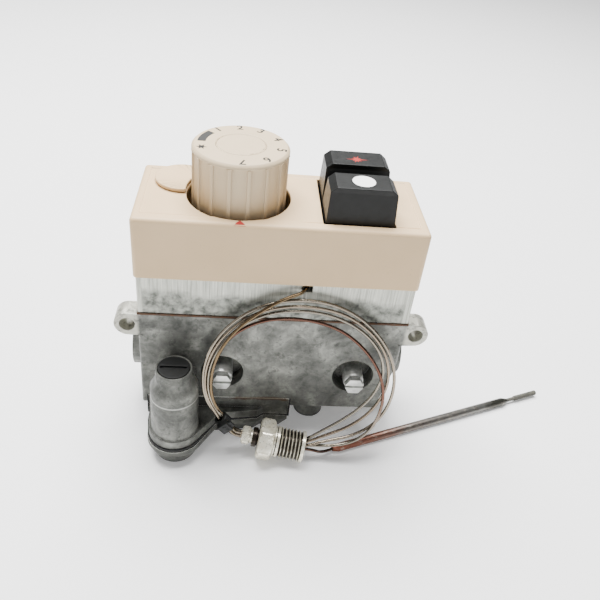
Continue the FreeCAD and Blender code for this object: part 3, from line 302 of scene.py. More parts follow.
def black_plastic(name, shade, roughness):
    """Dark moulded plastic with a fine grain, dust specks and greyer edges that are a painted highlight."""
    recipe = Recipe(name)
    dark = srgb(shade - 3, shade - 2, shade - 3)
    bright = srgb(shade + 3, shade + 5, shade + 4)
    base = recipe.ramp(recipe.noise(0.12), (0.3, dark), (0.7, bright))
    # Greyer edges: a painted highlight.
    colour = recipe.mix(recipe.edge_highlight(0.4), base, srgb(46, 49, 46))
    dust = recipe.span(recipe.noise(1.1, detail=5), 0.70, 0.76, 0, 0.3)
    colour = recipe.mix(dust, colour, srgb(110, 110, 104))
    recipe.bump(recipe.noise(3.2, detail=2), 0.25, 0.02)
    recipe.surface.inputs["Specular IOR Level"].default_value = 0.32
    return recipe.finish(colour, recipe.uneven(0.5, roughness - 0.05, roughness + 0.08))


# Where the casting's painted shade, painted highlights and stain lie along the valve's axes. Each edge is
# (no mark, full mark).
LEFT_SHADE_X, LEFT_SHADE_Z = (-36, -50), (56, 50)
LOW_SHADE_Z = (48, 22)
LUG_X, LUG_Z = (54.6, 56.0), (52, 54)
TOWER_RING_BOTTOM, TOWER_RING_TOP, TOWER_RING_BACK = (33.3, 33.6), (34.3, 34.0), (-10.6, -11)
STAIN_BOTTOM, STAIN_TOP = (20.6, 21.2), (22.4, 22.0)
STAIN_LEFT, STAIN_RIGHT, STAIN_BACK = (-18, -14), (9.8, 8), (-9, -9.5)


def casting_shade(recipe):
    """Painted shade: darker low down and at the left end."""
    height = recipe.axis("Z")
    at_left = recipe.where(recipe.span(recipe.axis("X"), *LEFT_SHADE_X),
                           recipe.span(height, *LEFT_SHADE_Z, 0, 0.4))
    return recipe.combine("MAXIMUM", recipe.span(height, *LOW_SHADE_Z, 0, 0.25), at_left)


def lug_highlight(recipe):
    """The fixing lugs at both ends, painted bright as a highlight."""
    outward = recipe.combine("ABSOLUTE", recipe.axis("X"), 0.0)
    return recipe.where(recipe.span(outward, *LUG_X), recipe.span(recipe.axis("Z"), *LUG_Z, 0, 0.6))


def tower_ring_highlight(recipe):
    """A painted highlight: a light line round the front of the regulator's tower."""
    height = recipe.axis("Z")
    return recipe.where(recipe.span(height, *TOWER_RING_BOTTOM), recipe.span(height, *TOWER_RING_TOP),
                        recipe.span(recipe.axis("Y"), *TOWER_RING_BACK, 0, 0.5))


def front_stain(recipe):
    """A wandering brown line low on the front."""
    wander = recipe.combine("MULTIPLY", recipe.noise(0.25, detail=5), 2.4)
    height = recipe.combine("ADD", recipe.axis("Z"), wander)
    across = recipe.axis("X")
    return recipe.where(recipe.span(height, *STAIN_BOTTOM), recipe.span(height, *STAIN_TOP),
                        recipe.span(across, *STAIN_LEFT), recipe.span(across, *STAIN_RIGHT, 0, 0.75),
                        recipe.span(recipe.axis("Y"), *STAIN_BACK))


def cast_metal(name, dark, bright, grime=0.6):
    """Die-cast aluminium: blotchy oxide, dark casting stains, flow marks, a pitted skin, painted shade and
    painted highlights.
    """
    recipe = Recipe(name)
    middle = srgb(*[(low + high) / 2 for low, high in zip(dark, bright)])
    cloud = recipe.noise(0.09, detail=8, roughness=0.62, distortion=0.3)
    base = recipe.ramp(cloud, (0.32, srgb(*dark)), (0.50, middle), (0.66, srgb(*bright)))
    # Painted shade, darker low down and at the left end.
    colour = recipe.mix(casting_shade(recipe), base, dimmed(dark, 0.8))
    # Painted highlight on the lugs.
    colour = recipe.mix(lug_highlight(recipe), colour, srgb(205, 203, 190))
    blot = recipe.span(recipe.noise(0.36, detail=9, roughness=0.7, distortion=0.4), 0.52, 0.64, 0, grime)
    colour = recipe.mix(blot, colour, srgb(64, 65, 62))
    fleck = recipe.span(recipe.noise(1.4, detail=4), 0.64, 0.74, 0, 0.2)
    colour = recipe.mix(fleck, colour, srgb(190, 191, 184))
    # Painted shade in crevices and corners.
    colour = recipe.mix(recipe.crevice_shade(2.5, 0.3, 0.85), colour, dimmed(dark, 0.5))
    # Painted highlight on the edges.
    colour = recipe.mix(recipe.edge_highlight(0.5), colour, srgb(206, 207, 199))
    # Painted highlight: a light line round the tower.
    colour = recipe.mix(tower_ring_highlight(recipe), colour, srgb(196, 197, 190))
    colour = recipe.mix(front_stain(recipe), colour, srgb(78, 58, 36))
    recipe.bump(recipe.noise(1.1, detail=8, roughness=0.7), 0.45, 0.10)
    recipe.bump(recipe.noise(0.16, detail=3), 0.3, 0.30)
    roughness = recipe.span(recipe.noise(0.5, detail=6), 0.35, 0.65, 0.42, 0.62)
    return recipe.finish(colour, roughness, 0.7)


# Where the upper casting turns from raw to brushed. Each edge is (raw, brushed).
BRUSHED_Z = (79.0, 82.5)
BRUSHED_LEFT, BRUSHED_RIGHT = (-52.8, -53.4), (52.0, 52.6)


def brushed_band():
    """The upper casting: upright brush strokes near the cover and at both ends, raw casting between, and a
    painted highlight on its edges.
    """
    recipe = Recipe("housing_metal")
    strokes = recipe.noise(1.0, detail=6, roughness=0.7, stretch=(1.9, 1.9, 0.05))
    bright = recipe.ramp(strokes, (0.32, srgb(126, 128, 120)), (0.68, srgb(206, 207, 196)))
    cloud = recipe.noise(0.30, detail=8, roughness=0.62, distortion=0.3)
    raw = recipe.ramp(cloud, (0.36, srgb(78, 80, 75)), (0.62, srgb(146, 148, 140)))
    wander = recipe.combine("MULTIPLY", recipe.noise(0.07, detail=6), 9.0)
    level = recipe.combine("ADD", recipe.axis("Z"), wander)
    across = recipe.axis("X")
    at_ends = recipe.combine("MAXIMUM", recipe.span(across, *BRUSHED_LEFT),
                             recipe.span(across, *BRUSHED_RIGHT))
    brushed = recipe.combine("MAXIMUM", recipe.span(level, *BRUSHED_Z), at_ends)
    colour = recipe.mix(brushed, raw, bright)
    # Painted highlight on the edges.
    colour = recipe.mix(recipe.edge_highlight(0.5), colour, srgb(225, 225, 216))
    recipe.bump(strokes, 0.25, 0.04)
    recipe.bump(recipe.noise(1.0, detail=8, roughness=0.7), 0.35, 0.08)
    return recipe.finish(colour, recipe.span(strokes, 0.3, 0.7, 0.32, 0.5), 0.75)


def plated_metal(name, dark, bright, roughness, tarnish=0.3, groove_shade=0.5, metallic=1.0):
    """Turned and plated metal: an uneven polish, darker tarnish and painted shade in its grooves."""
    recipe = Recipe(name)
    cloud = recipe.noise(0.3, detail=6, distortion=0.5)
    base = recipe.ramp(cloud, (0.35, srgb(*dark)), (0.65, srgb(*bright)))
    patch = recipe.span(recipe.noise(0.35, detail=7, roughness=0.7), 0.54, 0.7, 0, tarnish)
    colour = recipe.mix(patch, base, dimmed(dark, 0.4))
    # Painted shade in the grooves.
    colour = recipe.mix(recipe.crevice_shade(groove_shade, 0.4, 0.85), colour, dimmed(dark, 0.16))
    recipe.bump(recipe.noise(1.4, detail=4), 0.06, 0.004)
    polish = recipe.uneven(0.9, roughness - 0.06, roughness + 0.1, detail=5)
    return recipe.finish(colour, polish, metallic)


NICKEL_DARK, NICKEL_BRIGHT = (222, 215, 192), (246, 243, 226)
# Between these radii the gland turns from painted shade in its grooves to bright plate.
GLAND_SHADE_RADIUS, GLAND_PLATE_RADIUS = 6.25, 6.75


def distance_from_line(recipe, start, heading):
    """How far the point lies from a line, in mm."""
    from_start = recipe.nodes.new("ShaderNodeVectorMath")
    from_start.operation = "SUBTRACT"
    recipe.links.new(recipe.place(), from_start.inputs[0])
    from_start.inputs[1].default_value = start
    across = recipe.nodes.new("ShaderNodeVectorMath")
    across.operation = "CROSS_PRODUCT"
    recipe.links.new(from_start.outputs["Vector"], across.inputs[0])
    across.inputs[1].default_value = heading
    length = recipe.nodes.new("ShaderNodeVectorMath")
    length.operation = "LENGTH"
    recipe.links.new(across.outputs["Vector"], length.inputs[0])
    return length.outputs["Value"]


def gland_metal():
    """Nickel plate, bright on its crests, with dark brown painted shade in the thread's grooves and round
    the neck.
    """
    recipe = Recipe("gland_plate")
    radius = distance_from_line(recipe, GLAND_START, GLAND_HEADING)
    crest = recipe.span(radius, GLAND_SHADE_RADIUS, GLAND_PLATE_RADIUS)
    cloud = recipe.noise(0.3, detail=4)
    plate = recipe.ramp(cloud, (0.35, srgb(*NICKEL_DARK)), (0.65, srgb(*NICKEL_BRIGHT)))
    # Painted shade: dark brown in the grooves and round the neck, bright plate on the crests.
    colour = recipe.mix(crest, srgb(40, 33, 24), plate)
    recipe.bump(recipe.noise(1.4, detail=4), 0.05, 0.004)
    return recipe.finish(colour, recipe.uneven(0.9, 0.24, 0.36, detail=5), 0.65)


# Shares of the capillary's length where its colour changes.
GOLD_END, SILVER_START = 0.085, 0.12
SILVER_END, STRAW_PLACE = 0.30, 0.34
COPPER_START, COPPER_END = 0.80, 0.97
COLOUR_FADE = 0.02


def capillary_metal():
    """Drawn tube: golden brown at the start, bright silver, then a copper-red stretch before the bulb, with
    painted shade along its sides.
    """
    recipe = Recipe("capillary_skin")
    point = recipe.nodes.new("ShaderNodeTexCoord")
    split = recipe.nodes.new("ShaderNodeSeparateXYZ")
    recipe.links.new(point.outputs["UV"], split.inputs["Vector"])
    along = split.outputs["X"]
    silver, straw, gold = srgb(136, 130, 118), srgb(138, 124, 108), srgb(106, 90, 68)
    copper, brown = srgb(98, 70, 60), srgb(80, 64, 56)
    colour = recipe.ramp(along, (0, gold), (GOLD_END, gold), (SILVER_START, silver), (SILVER_END, silver),
                         (STRAW_PLACE, straw), (COPPER_START - COLOUR_FADE, silver),
                         (COPPER_START, copper), (COPPER_END, copper), (COPPER_END + COLOUR_FADE, brown),
                         (1, brown))
    patch = recipe.span(recipe.noise(0.16, detail=6, roughness=0.65), 0.54, 0.68, 0, 0.35)
    colour = recipe.mix(patch, colour, srgb(108, 88, 70))
    # Painted shade: darker where the tube turns away from the camera.
    facing = recipe.nodes.new("ShaderNodeLayerWeight")
    facing.inputs["Blend"].default_value = 0.5
    rim_shade = recipe.span(facing.outputs["Facing"], 0.35, 0.75, 0, 0.8)
    colour = recipe.mix(rim_shade, colour, srgb(34, 29, 23))
    recipe.bump(recipe.noise(2.0, detail=4), 0.05, 0.004)
    return recipe.finish(colour, recipe.uneven(0.5, 0.16, 0.3, detail=5), 1.0)


# The bulb's colours run between these places along x.
BULB_COLOUR_START, BULB_COLOUR_END = 46, 128


def bulb_metal():
    """The bulb's tube: copper-brown at the capillary end, greyer and duller towards its tip."""
    recipe = Recipe("bulb_skin")
    wander = recipe.combine("MULTIPLY", recipe.noise(0.15, detail=6), 24.0)
    along = recipe.span(recipe.combine("ADD", recipe.axis("X"), wander), BULB_COLOUR_START, BULB_COLOUR_END)
    base = recipe.ramp(along, (0, srgb(122, 74, 58)), (0.30, srgb(110, 84, 74)), (0.42, srgb(104, 98, 92)),
                       (0.9, srgb(112, 112, 108)), (1, srgb(70, 70, 64)))
    scratches = recipe.noise(0.6, detail=8, roughness=0.7, stretch=(0.35, 1, 1))
    colour = recipe.mix(recipe.span(scratches, 0.54, 0.66, 0, 0.5), base, srgb(176, 168, 158))
    stain = recipe.span(recipe.noise(0.4, detail=8, roughness=0.7), 0.56, 0.68, 0, 0.6)
    colour = recipe.mix(stain, colour, srgb(58, 50, 44))
    recipe.bump(recipe.noise(1.2, detail=6), 0.25, 0.03)
    return recipe.finish(colour, recipe.uneven(0.7, 0.3, 0.48, detail=5), 0.9)


def dull_sheet(name, dark, bright, scale, relief):
    """Fibre, rubber or dull metal: mottled, matt and slightly rough."""
    recipe = Recipe(name)
    mottle = recipe.noise(scale, detail=7, roughness=0.7)
    colour = recipe.ramp(mottle, (0.3, srgb(*dark)), (0.7, srgb(*bright)))
    recipe.bump(recipe.noise(scale * 4, detail=4), 0.5, relief)
    return recipe.finish(colour, recipe.uneven(scale * 2, 0.6, 0.85))


def printed(name, colour):
    """A thin layer of printing ink, slightly uneven."""
    recipe = Recipe(name)
    worn = recipe.span(recipe.noise(2.5, detail=4), 0.35, 0.65, 0, 0.25)
    faded = srgb(*[value * 0.8 + 30 for value in colour])
    return recipe.finish(recipe.mix(worn, srgb(*colour), faded), 0.8)


MATERIALS = {}


def make_materials():
    """Every material, by the short name that the tables below use."""
    MATERIALS.update({
        "cover": beige_plastic("cover_plastic", (210, 182, 142)),
        "dial": beige_plastic("dial_plastic", (200, 180, 148)),
        "key": black_plastic("key_plastic", 5, 0.42),
        "frame": black_plastic("frame_plastic", 14, 0.6),
        "cap": black_plastic("cap_plastic", 12, 0.5),
        "tie": black_plastic("tie_nylon", 5, 0.5),
        "casting": cast_metal("body_metal", (68, 69, 66), (150, 151, 144)),
        "pan": cast_metal("pan_metal", (68, 69, 65), (124, 125, 118), grime=0.35),
        "housing": brushed_band(),
        "gland": gland_metal(),
        "nickel": plated_metal("nickel_plate", NICKEL_DARK, NICKEL_BRIGHT, 0.27, tarnish=0.1, groove_shade=0.3,
                               metallic=0.55),
        "zinc": plated_metal("zinc_plate", (186, 188, 184), (226, 227, 223), 0.33, tarnish=0.15, groove_shade=0.3,
                             metallic=0.8),
        "steel": plated_metal("spring_steel", (112, 112, 110), (172, 172, 168), 0.35),
        "brass": plated_metal("brass_metal", (128, 104, 62), (170, 142, 92), 0.36),
        "capillary": capillary_metal(),
        "gasket": dull_sheet("gasket_fibre", (46, 28, 16), (92, 62, 38), 0.5, 0.08),
        "rubber": dull_sheet("rubber_sheet", (10, 10, 10), (24, 24, 23), 0.4, 0.05),
        "bulb": bulb_metal(),
        "tip": dull_sheet("tip_metal", (40, 40, 36), (92, 90, 80), 0.5, 0.04),
        "ink": printed("dark_ink", (10, 10, 9)),
        "grey_ink": printed("grey_ink", (34, 34, 32)),
        "red_ink": printed("red_ink", (158, 26, 16)),
        "white_ink": printed("white_ink", (250, 250, 248)),
    })


# --- carried-over CAD nodes -----------------------------------------------------------------------

# What shows. node: (material, edge round in mm)
CARRIED = {
    "cover": ("cover", 0.35), "control_knob": ("dial", 0.25), "igniter_blanking_plug": ("cover", 0.5),
    "off_key": ("key", 0.3), "ignition_key": ("key", 0.3), "key_guide": ("frame", 0.15),
    "thermostat_housing": ("housing", 0.3), "body_gasket": ("gasket", 0.1),
    "valve_body": ("casting", 0.3), "bottom_pan": ("pan", 0), "rubber_diaphragm": ("rubber", 0.2),
    "regulator_cap": ("cap", 0.3), "inlet_test_nipple": ("zinc", 0.2), "outlet_test_nipple": ("zinc", 0.2),
    "inlet_test_screw": ("zinc", 0.25), "outlet_test_screw": ("zinc", 0.25),
    "magnet_nut": ("brass", 0.3), "pilot_outlet_nut": ("brass", 0.3),
    "pilot_adjusting_screw": ("brass", 0.2),
    "pan_screws": ("zinc", 0.15), "body_screws": ("zinc", 0.15), "inlet_filter": ("steel", 0.05),
    "sensing_bulb": ("bulb", 0.1), "bulb_filling_tip": ("tip", 0.1), "gland_packing": ("brass", 0.1),
}
# What the casings hide. node: material
INSIDE = {
    "dial_spindle": "zinc", "spindle_bush": "brass", "bellows_seat": "brass", "thermostat_bellows": "brass",
    "thermostat_lever": "steel", "lever_pin": "steel", "off_plunger": "brass", "ignition_plunger": "brass",
    "off_key_spring": "steel", "ignition_key_spring": "steel", "main_valve_seat": "brass",
    "main_valve_disc": "rubber", "main_valve_spring": "steel", "safety_valve_disc": "rubber",
    "safety_valve_spring": "steel", "magnet_unit": "zinc", "regulator_plate": "zinc",
    "regulator_spring": "steel", "regulator_adjuster": "brass", "capillary_inner_run": "nickel",
}

WELD_GAP = 0.002
EDGE_ANGLE = 35


def dress(node, material, edge_round):
    """Gives a CAD node its material and rounds its sharp edges with modifiers."""
    item = NODES[node]
    item.data.materials.clear()
    item.data.materials.append(MATERIALS[material])
    if edge_round:
        weld = item.modifiers.new("weld", "WELD")
        weld.merge_threshold = WELD_GAP * MM
        rounding = item.modifiers.new("rounding", "BEVEL")
        rounding.width = edge_round * MM
        rounding.segments = 2
        rounding.limit_method = "ANGLE"
        rounding.angle_limit = math.radians(EDGE_ANGLE)
        rounding.use_clamp_overlap = False
        rounding.harden_normals = True


def dress_all():
    """Dresses every CAD node that no new piece stands for. Pieces inside keep their sharp edges."""
    for node, (material, edge_round) in CARRIED.items():
        dress(node, material, edge_round)
    for node, material in INSIDE.items():
        dress(node, material, 0)


# --- new meshes -----------------------------------------------------------------------------------

def piece(name, mesh, material, body):
    """Links a finished mesh as a piece that rides on a body."""
    item = bpy.data.objects.new(name, mesh)
    bpy.context.scene.collection.objects.link(item)
    mesh.materials.append(MATERIALS[material])
    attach(item, body)
    return item


def finished_mesh(name, build, crease=40):
    """Turns a bmesh that was built in mm into a mesh in metres, shaded smooth up to an edge angle."""
    bmesh.ops.recalc_face_normals(build, faces=build.faces)
    bmesh.ops.scale(build, vec=(MM, MM, MM), verts=build.verts)
    mesh = bpy.data.meshes.new(name)
    build.to_mesh(mesh)
    build.free()
    mesh.shade_smooth()
    mesh.set_sharp_from_angle(angle=math.radians(crease))
    return mesh


def join_loops(build, loops):
    """Faces from each loop of points to the next, and from the last back to the first."""
    rows = [[build.verts.new(point) for point in loop] for loop in loops]
    for number, first in enumerate(rows):
        second = rows[(number + 1) % len(rows)]
        for step in range(len(first)):
            build.faces.new((first[step - 1], first[step], second[step], second[step - 1]))


AROUND = 96


def ring_loops(start, heading, rings):
    """Loops of points round a heading, from rings of (distance, radius).
    A radius may also be a function of the angle, for hexagons, threads and ridges."""
    side = heading.cross(Vector((0, 0, 1))).normalized()
    rise = side.cross(heading)
    loops = []
    for distance, radius in rings:
        loop = []
        for step in range(AROUND):
            angle = 2 * math.pi * step / AROUND
            outward = side * math.cos(angle) + rise * math.sin(angle)
            reach = radius(angle) if callable(radius) else radius
            loop.append(start + heading * distance + outward * reach)
        loops.append(loop)
    return loops


def turned(name, start, heading, rings):
    """A hollow turned piece, whose rings go out along a heading and back through the bore."""
    build = bmesh.new()
    join_loops(build, ring_loops(start, heading, rings))
    return finished_mesh(name, build, crease=30)


def hexagonal(flats, corner):
    """A hexagon's radius at an angle, with its corners turned down to a radius."""
    def radius(angle):
        return min(flats / 2 / math.cos(angle % math.radians(60) - math.radians(30)), corner)
    return radius


def hexagon_rings(flats, corners):
    """A hexagon's rings, from its (distance, corner radius) pairs."""
    return [(distance, hexagonal(flats, corner)) for distance, corner in corners]


def threaded(crest, depth, pitch, distance):
    """A right-hand thread's radius at an angle, this far along it."""
    def radius(angle):
        phase = (distance / pitch + angle / (2 * math.pi)) % 1
        return crest - depth * min(1, 1.5 * abs(2 * phase - 1))
    return radius


# --- gland and cable tie --------------------------------------------------------------------------

# The gland's outside, as (distance along it, radius) of its turned parts and its hexagon's corners.
GLAND_FLATS, NUT_FLATS = 17, 7.4
GLAND_NECK = [(4.7, 3.9), (4.95, 4.25), (6.6, 4.3), (6.85, 3.9), (7.0, 3.5), (7.4, 3.5)]
GLAND_CORNERS = [(7.4, 7.7), (7.9, 8.6), (8.7, 9.5), (12.9, 9.5), (13.7, 8.6), (14.2, 7.7)]
GLAND_SHOULDER = [(14.2, 6.3), (14.4, 6.7), (15.0, 6.7), (15.2, 6.1), (15.35, 6.1), (15.5, 6.9), (16.5, 6.9),
                  (16.8, 6.3)]
NUT_CORNERS = [(0.1, 3.5), (0.6, 4.2), (3.2, 4.2), (3.7, 3.5)]

THREAD_CREST, THREAD_DEPTH, THREAD_PITCH = 6.95, 0.95, 1.55
THREAD_START = 16.9
# The thread stops this far before the gland's end.
THREAD_STOP = 1.7
RINGS_PER_PITCH = 8

# Its bore: a wide mouth, a narrow way for the turns, and a socket for the nut.
MOUTH_RADIUS, MOUTH_DEPTH = 4.6, 8.9
WAY_RADIUS = 2.1
SOCKET_RADIUS, SOCKET_START, SOCKET_END = 3.4, 4.7, 7.6


def thread_rings(end):
    """The thread's rings, up to this distance along the gland."""
    count = int((end - THREAD_START) / THREAD_PITCH * RINGS_PER_PITCH)
    distances = [THREAD_START + number * THREAD_PITCH / RINGS_PER_PITCH for number in range(count)]
    return [(distance, threaded(THREAD_CREST, THREAD_DEPTH, THREAD_PITCH, distance))
            for distance in distances]


def make_gland():
    """The threaded gland, bored through for the capillary's turns, with a socket for its small nut."""
    length = (GLAND_END - GLAND_START).length
    thread_end = length - THREAD_STOP
    hexagon = hexagon_rings(GLAND_FLATS, GLAND_CORNERS)
    outside = GLAND_NECK + hexagon + GLAND_SHOULDER + thread_rings(thread_end)
    end = [(thread_end, 6.2), (thread_end + 0.2, THREAD_CREST), (length - 0.3, THREAD_CREST), (length, 6.5)]
    bore = [(length, 5.2), (length - 0.5, MOUTH_RADIUS), (length - MOUTH_DEPTH, MOUTH_RADIUS),
            (length - MOUTH_DEPTH, WAY_RADIUS), (SOCKET_END, WAY_RADIUS), (SOCKET_END, SOCKET_RADIUS),
            (SOCKET_START, SOCKET_RADIUS)]
    mesh = turned("gland", GLAND_START, GLAND_HEADING, outside + end + bore)
    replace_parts(piece("gland", mesh, "gland", "valve"), "gland_body")


def make_lock_nut():
    """The small hexagonal nut at the gland's neck, with a collar that reaches into it."""
    outside = [(0, 3.0)] + hexagon_rings(NUT_FLATS, NUT_CORNERS) + [(3.8, 2.9), (5.1, 2.9)]
    bore = [(5.1, WAY_RADIUS), (0, WAY_RADIUS)]
    mesh = turned("gland_lock_nut", GLAND_START, GLAND_HEADING, outside + bore)
    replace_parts(piece("gland_lock_nut", mesh, "nickel", "valve"), "gland_nut")


# The strap's direction leans this much from the line between the tie and the gland.
STRAP_LEAN = Vector((-3.5, 0, 3))
STRAP_RADIUS = 3.0
RIDGE_HEIGHT, RIDGE_COUNT = 0.08, 24
# Blocks beside the strap: (how far to the side, how far up, size).
TIE_BLOCKS = {
    "head": (4.2, 0.6, (4.9, 3.0, 4.8)),
    "pawl": (4.6, 3.4, (3.2, 1.0, 2.2)),
    "tail": (5.5, 0.6, (3.2, 1.0, 2.0)),
}
BLOCK_ROUND = 0.35


def strap_ridges(angle):
    """The strap's radius at an angle, with its cross ridges."""
    return STRAP_RADIUS + RIDGE_HEIGHT * math.cos(angle * RIDGE_COUNT)


def add_block(build, middle, size, turn):
    """A box with rounded edges, turned about the tie."""
    corners = bmesh.ops.create_cube(build, size=1)["verts"]
    bmesh.ops.scale(build, vec=size, verts=corners)
    edges = list({edge for corner in corners for edge in corner.link_edges})
    made = bmesh.ops.bevel(build, geom=edges, offset=BLOCK_ROUND, segments=2, profile=0.6, affect="EDGES")
    block = list({corner for face in made["faces"] for corner in face.verts})
    bmesh.ops.rotate(build, verts=block, cent=(0, 0, 0), matrix=turn)
    bmesh.ops.translate(build, vec=middle, verts=block)


def make_tie():
    """The cable tie: a ridged strap around the turns, its locking head and the cut-off tail."""
    heading = (GLAND_START - TIE_MIDDLE + STRAP_LEAN).normalized()
    side = heading.cross(Vector((0, 0, 1))).normalized()
    rise = side.cross(heading)
    rings = [(-2.2, 2.0), (-2.2, 2.7), (-1.9, strap_ridges), (1.9, strap_ridges), (2.2, 2.7), (2.2, 2.0)]
    build = bmesh.new()
    join_loops(build, ring_loops(TIE_MIDDLE, heading, rings))
    turn = Matrix((heading, side, rise)).transposed()
    for aside, up, size in TIE_BLOCKS.values():
        add_block(build, TIE_MIDDLE + side * aside + rise * up, size, turn)
    tie = piece("tie_strap", finished_mesh("tie_strap", build), "tie", "valve")
    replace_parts(tie, "cable_tie")


# --- gasket edge ----------------------------------------------------------------------------------

LIP_LEFT, LIP_RIGHT, LIP_FRONT, LIP_BACK = -55.3, 55.2, -10.25, 32.5
LIP_STEP = 1.0
LIP_ROOT = -0.9
# The lip's thickness and how far it stands proud, with how much both wander along the joint.
LIP_THICKNESS, THICKNESS_SWELL, THICKNESS_SLOPE = 0.12, 0.16, 0.0024
LIP_PROUD, PROUD_SWELL, PROUD_RAGGED = 0.34, 0.22, 0.14
SWELL_SCALE, RAGGED_SCALE = 0.11, 0.7


def lip_stations():
    """Places round the joint, a step apart, each with its outward direction: (x, y, out x, out y)."""
    corners = [(LIP_LEFT, LIP_FRONT), (LIP_RIGHT, LIP_FRONT), (LIP_RIGHT, LIP_BACK), (LIP_LEFT, LIP_BACK)]
    stations = []
    for number, (x, y) in enumerate(corners):
        next_x, next_y = corners[(number + 1) % len(corners)]
        length = abs(next_x - x) + abs(next_y - y)
        along_x, along_y = (next_x - x) / length, (next_y - y) / length
        for step in range(int(length / LIP_STEP)):
            distance = step * LIP_STEP
            stations.append((x + along_x * distance, y + along_y * distance, along_y, -along_x))
    return stations


def lip_section(x, y, bottom, top):
    """The lip's section at a place: (how far out, height) points, uneven from place to place."""
    swell = noise.noise(Vector((x * SWELL_SCALE, y * SWELL_SCALE, 0)))
    ragged = noise.noise(Vector((x * RAGGED_SCALE, y * RAGGED_SCALE, 3)))
    thickness = LIP_THICKNESS + THICKNESS_SWELL * swell + THICKNESS_SLOPE * x
    proud = LIP_PROUD + PROUD_SWELL * swell + PROUD_RAGGED * ragged
    low = bottom - thickness
    high = top + thickness * 0.5
    return [(LIP_ROOT, bottom + 0.2), (0.04, low), (proud * 0.8, low + 0.15), (proud, (low + high) / 2),
            (proud * 0.7, high - 0.15), (0.04, high), (LIP_ROOT, top - 0.2)]


def make_gasket_edge():
    """The squeezed-out edge of the fibre gasket: an uneven lip all round the joint."""
    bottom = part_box("body_gasket")[0].z / MM
    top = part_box("body_gasket")[1].z / MM
    loops = []
    for x, y, out_x, out_y in lip_stations():
        section = lip_section(x, y, bottom, top)
        loops.append([Vector((x + out_x * out, y + out_y * out, z)) for out, z in section])
    build = bmesh.new()
    join_loops(build, loops)
    mesh = finished_mesh("gasket_lip", build, crease=60)
    piece("gasket_lip", mesh, "gasket", "valve")


# --- printed markings -----------------------------------------------------------------------------

INK_THICKNESS = 0.03
# A font size over the height of its digits, and how far a digit's strokes swell, as a share of height.
FONT_SCALE = 1.38
STROKE_SWELL = 0.03


def add_patch(build, points, base):
    """A thin raised patch with this outline. base is its height, or a function of x and y."""
    def height(x, y):
        return base(x, y) if callable(base) else base
    corners = [build.verts.new((x, y, height(x, y))) for x, y in points]
    face = build.faces.new(corners)
    raised = bmesh.ops.extrude_face_region(build, geom=[face])["geom"]
    top = [item for item in raised if isinstance(item, bmesh.types.BMVert)]
    bmesh.ops.translate(build, vec=(0, 0, INK_THICKNESS), verts=top)


def add_text(build, text, height, place, turn):
    """A character in the built-in font, centred on a place and turned about the upright."""
    letters = bpy.data.curves.new(text, "FONT")
    letters.body = text
    letters.size = height * FONT_SCALE
    letters.align_x = "CENTER"
    letters.align_y = "CENTER"
    letters.extrude = INK_THICKNESS
    letters.bevel_depth = height * STROKE_SWELL
    holder = bpy.data.objects.new(text, letters)
    mesh = bpy.data.meshes.new_from_object(holder)
    flatten = Matrix.Diagonal((1, 1, INK_THICKNESS / (INK_THICKNESS + letters.bevel_depth), 1))
    mesh.transform(Matrix.Translation(place) @ Matrix.Rotation(turn, 4, "Z") @ flatten)
    build.from_mesh(mesh)
    bpy.data.objects.remove(holder)
    bpy.data.meshes.remove(mesh)
    bpy.data.curves.remove(letters)


def around_point(middle, angle, reach):
    """The point this far from a middle, at an angle."""
    return (middle[0] + reach * math.cos(angle), middle[1] + reach * math.sin(angle))


def star(middle, spikes, waist):
    """A star's outline from its spikes, given as (degrees, reach)."""
    points = []
    for number, (degrees, reach) in enumerate(spikes):
        after = spikes[(number + 1) % len(spikes)][0]
        gap = (degrees + (after - degrees) % 360 / 2)
        points.append(around_point(middle, math.radians(degrees), reach))
        points.append(around_point(middle, math.radians(gap), waist))
    return points


DIAL_MIDDLE = (-17, 12.4)
DIAL_PRINT_RADIUS = 15.2
DIGIT_HEIGHT = 3.8
DIGIT_PLACES = (("1", 127), ("2", 93), ("3", 61), ("4", 25), ("5", -11), ("6", -51), ("7", -87))
PILOT_PLACE, PILOT_REACH, PILOT_WAIST, PILOT_SPIKES = -162.5, 2.2, 0.9, 6
BAND_INSIDE, BAND_OUTSIDE = 13.3, 16.4
BAND_DEGREES = range(141, 179)


def make_dial_print():
    """Numbers 1 to 7 and the pilot star on the dial's top."""
    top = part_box("control_knob")[1].z / MM
    build = bmesh.new()
    for digit, degrees in DIGIT_PLACES:
        angle = math.radians(degrees)
        x, y = around_point(DIAL_MIDDLE, angle, DIAL_PRINT_RADIUS)
        add_text(build, digit, DIGIT_HEIGHT, (x, y, top), angle - math.pi / 2)
    spikes = [(number * 360 / PILOT_SPIKES, PILOT_REACH) for number in range(PILOT_SPIKES)]
    pilot = around_point(DIAL_MIDDLE, math.radians(PILOT_PLACE), DIAL_PRINT_RADIUS)
    add_patch(build, star(pilot, spikes, PILOT_WAIST), top)
    piece("dial_print", finished_mesh("dial_print", build), "ink", "dial")


def make_dial_band():
    """The grey band on the dial's top that joins the pilot star to 1."""
    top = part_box("control_knob")[1].z / MM
    sweep = [math.radians(degrees) for degrees in BAND_DEGREES]
    outer = [around_point(DIAL_MIDDLE, angle, BAND_OUTSIDE) for angle in sweep]
    inner = [around_point(DIAL_MIDDLE, angle, BAND_INSIDE) for angle in reversed(sweep)]
    build = bmesh.new()
    add_patch(build, outer + inner, top)
    piece("dial_band", finished_mesh("dial_band", build), "grey_ink", "dial")


DOT_MIDDLE, DOT_RADIUS, DOT_POINTS = (29.2, 1.5), 4.4, 64
SPARK_MIDDLE, SPARK_WAIST = (28.6, 20.2), 1.2
SPARK_SPIKES = [(0, 4.6), (38, 2.2), (75, 3.3), (112, 2.6), (150, 2.0), (180, 4.2), (215, 2.1), (250, 2.9),
                (285, 2.3), (325, 2.5)]


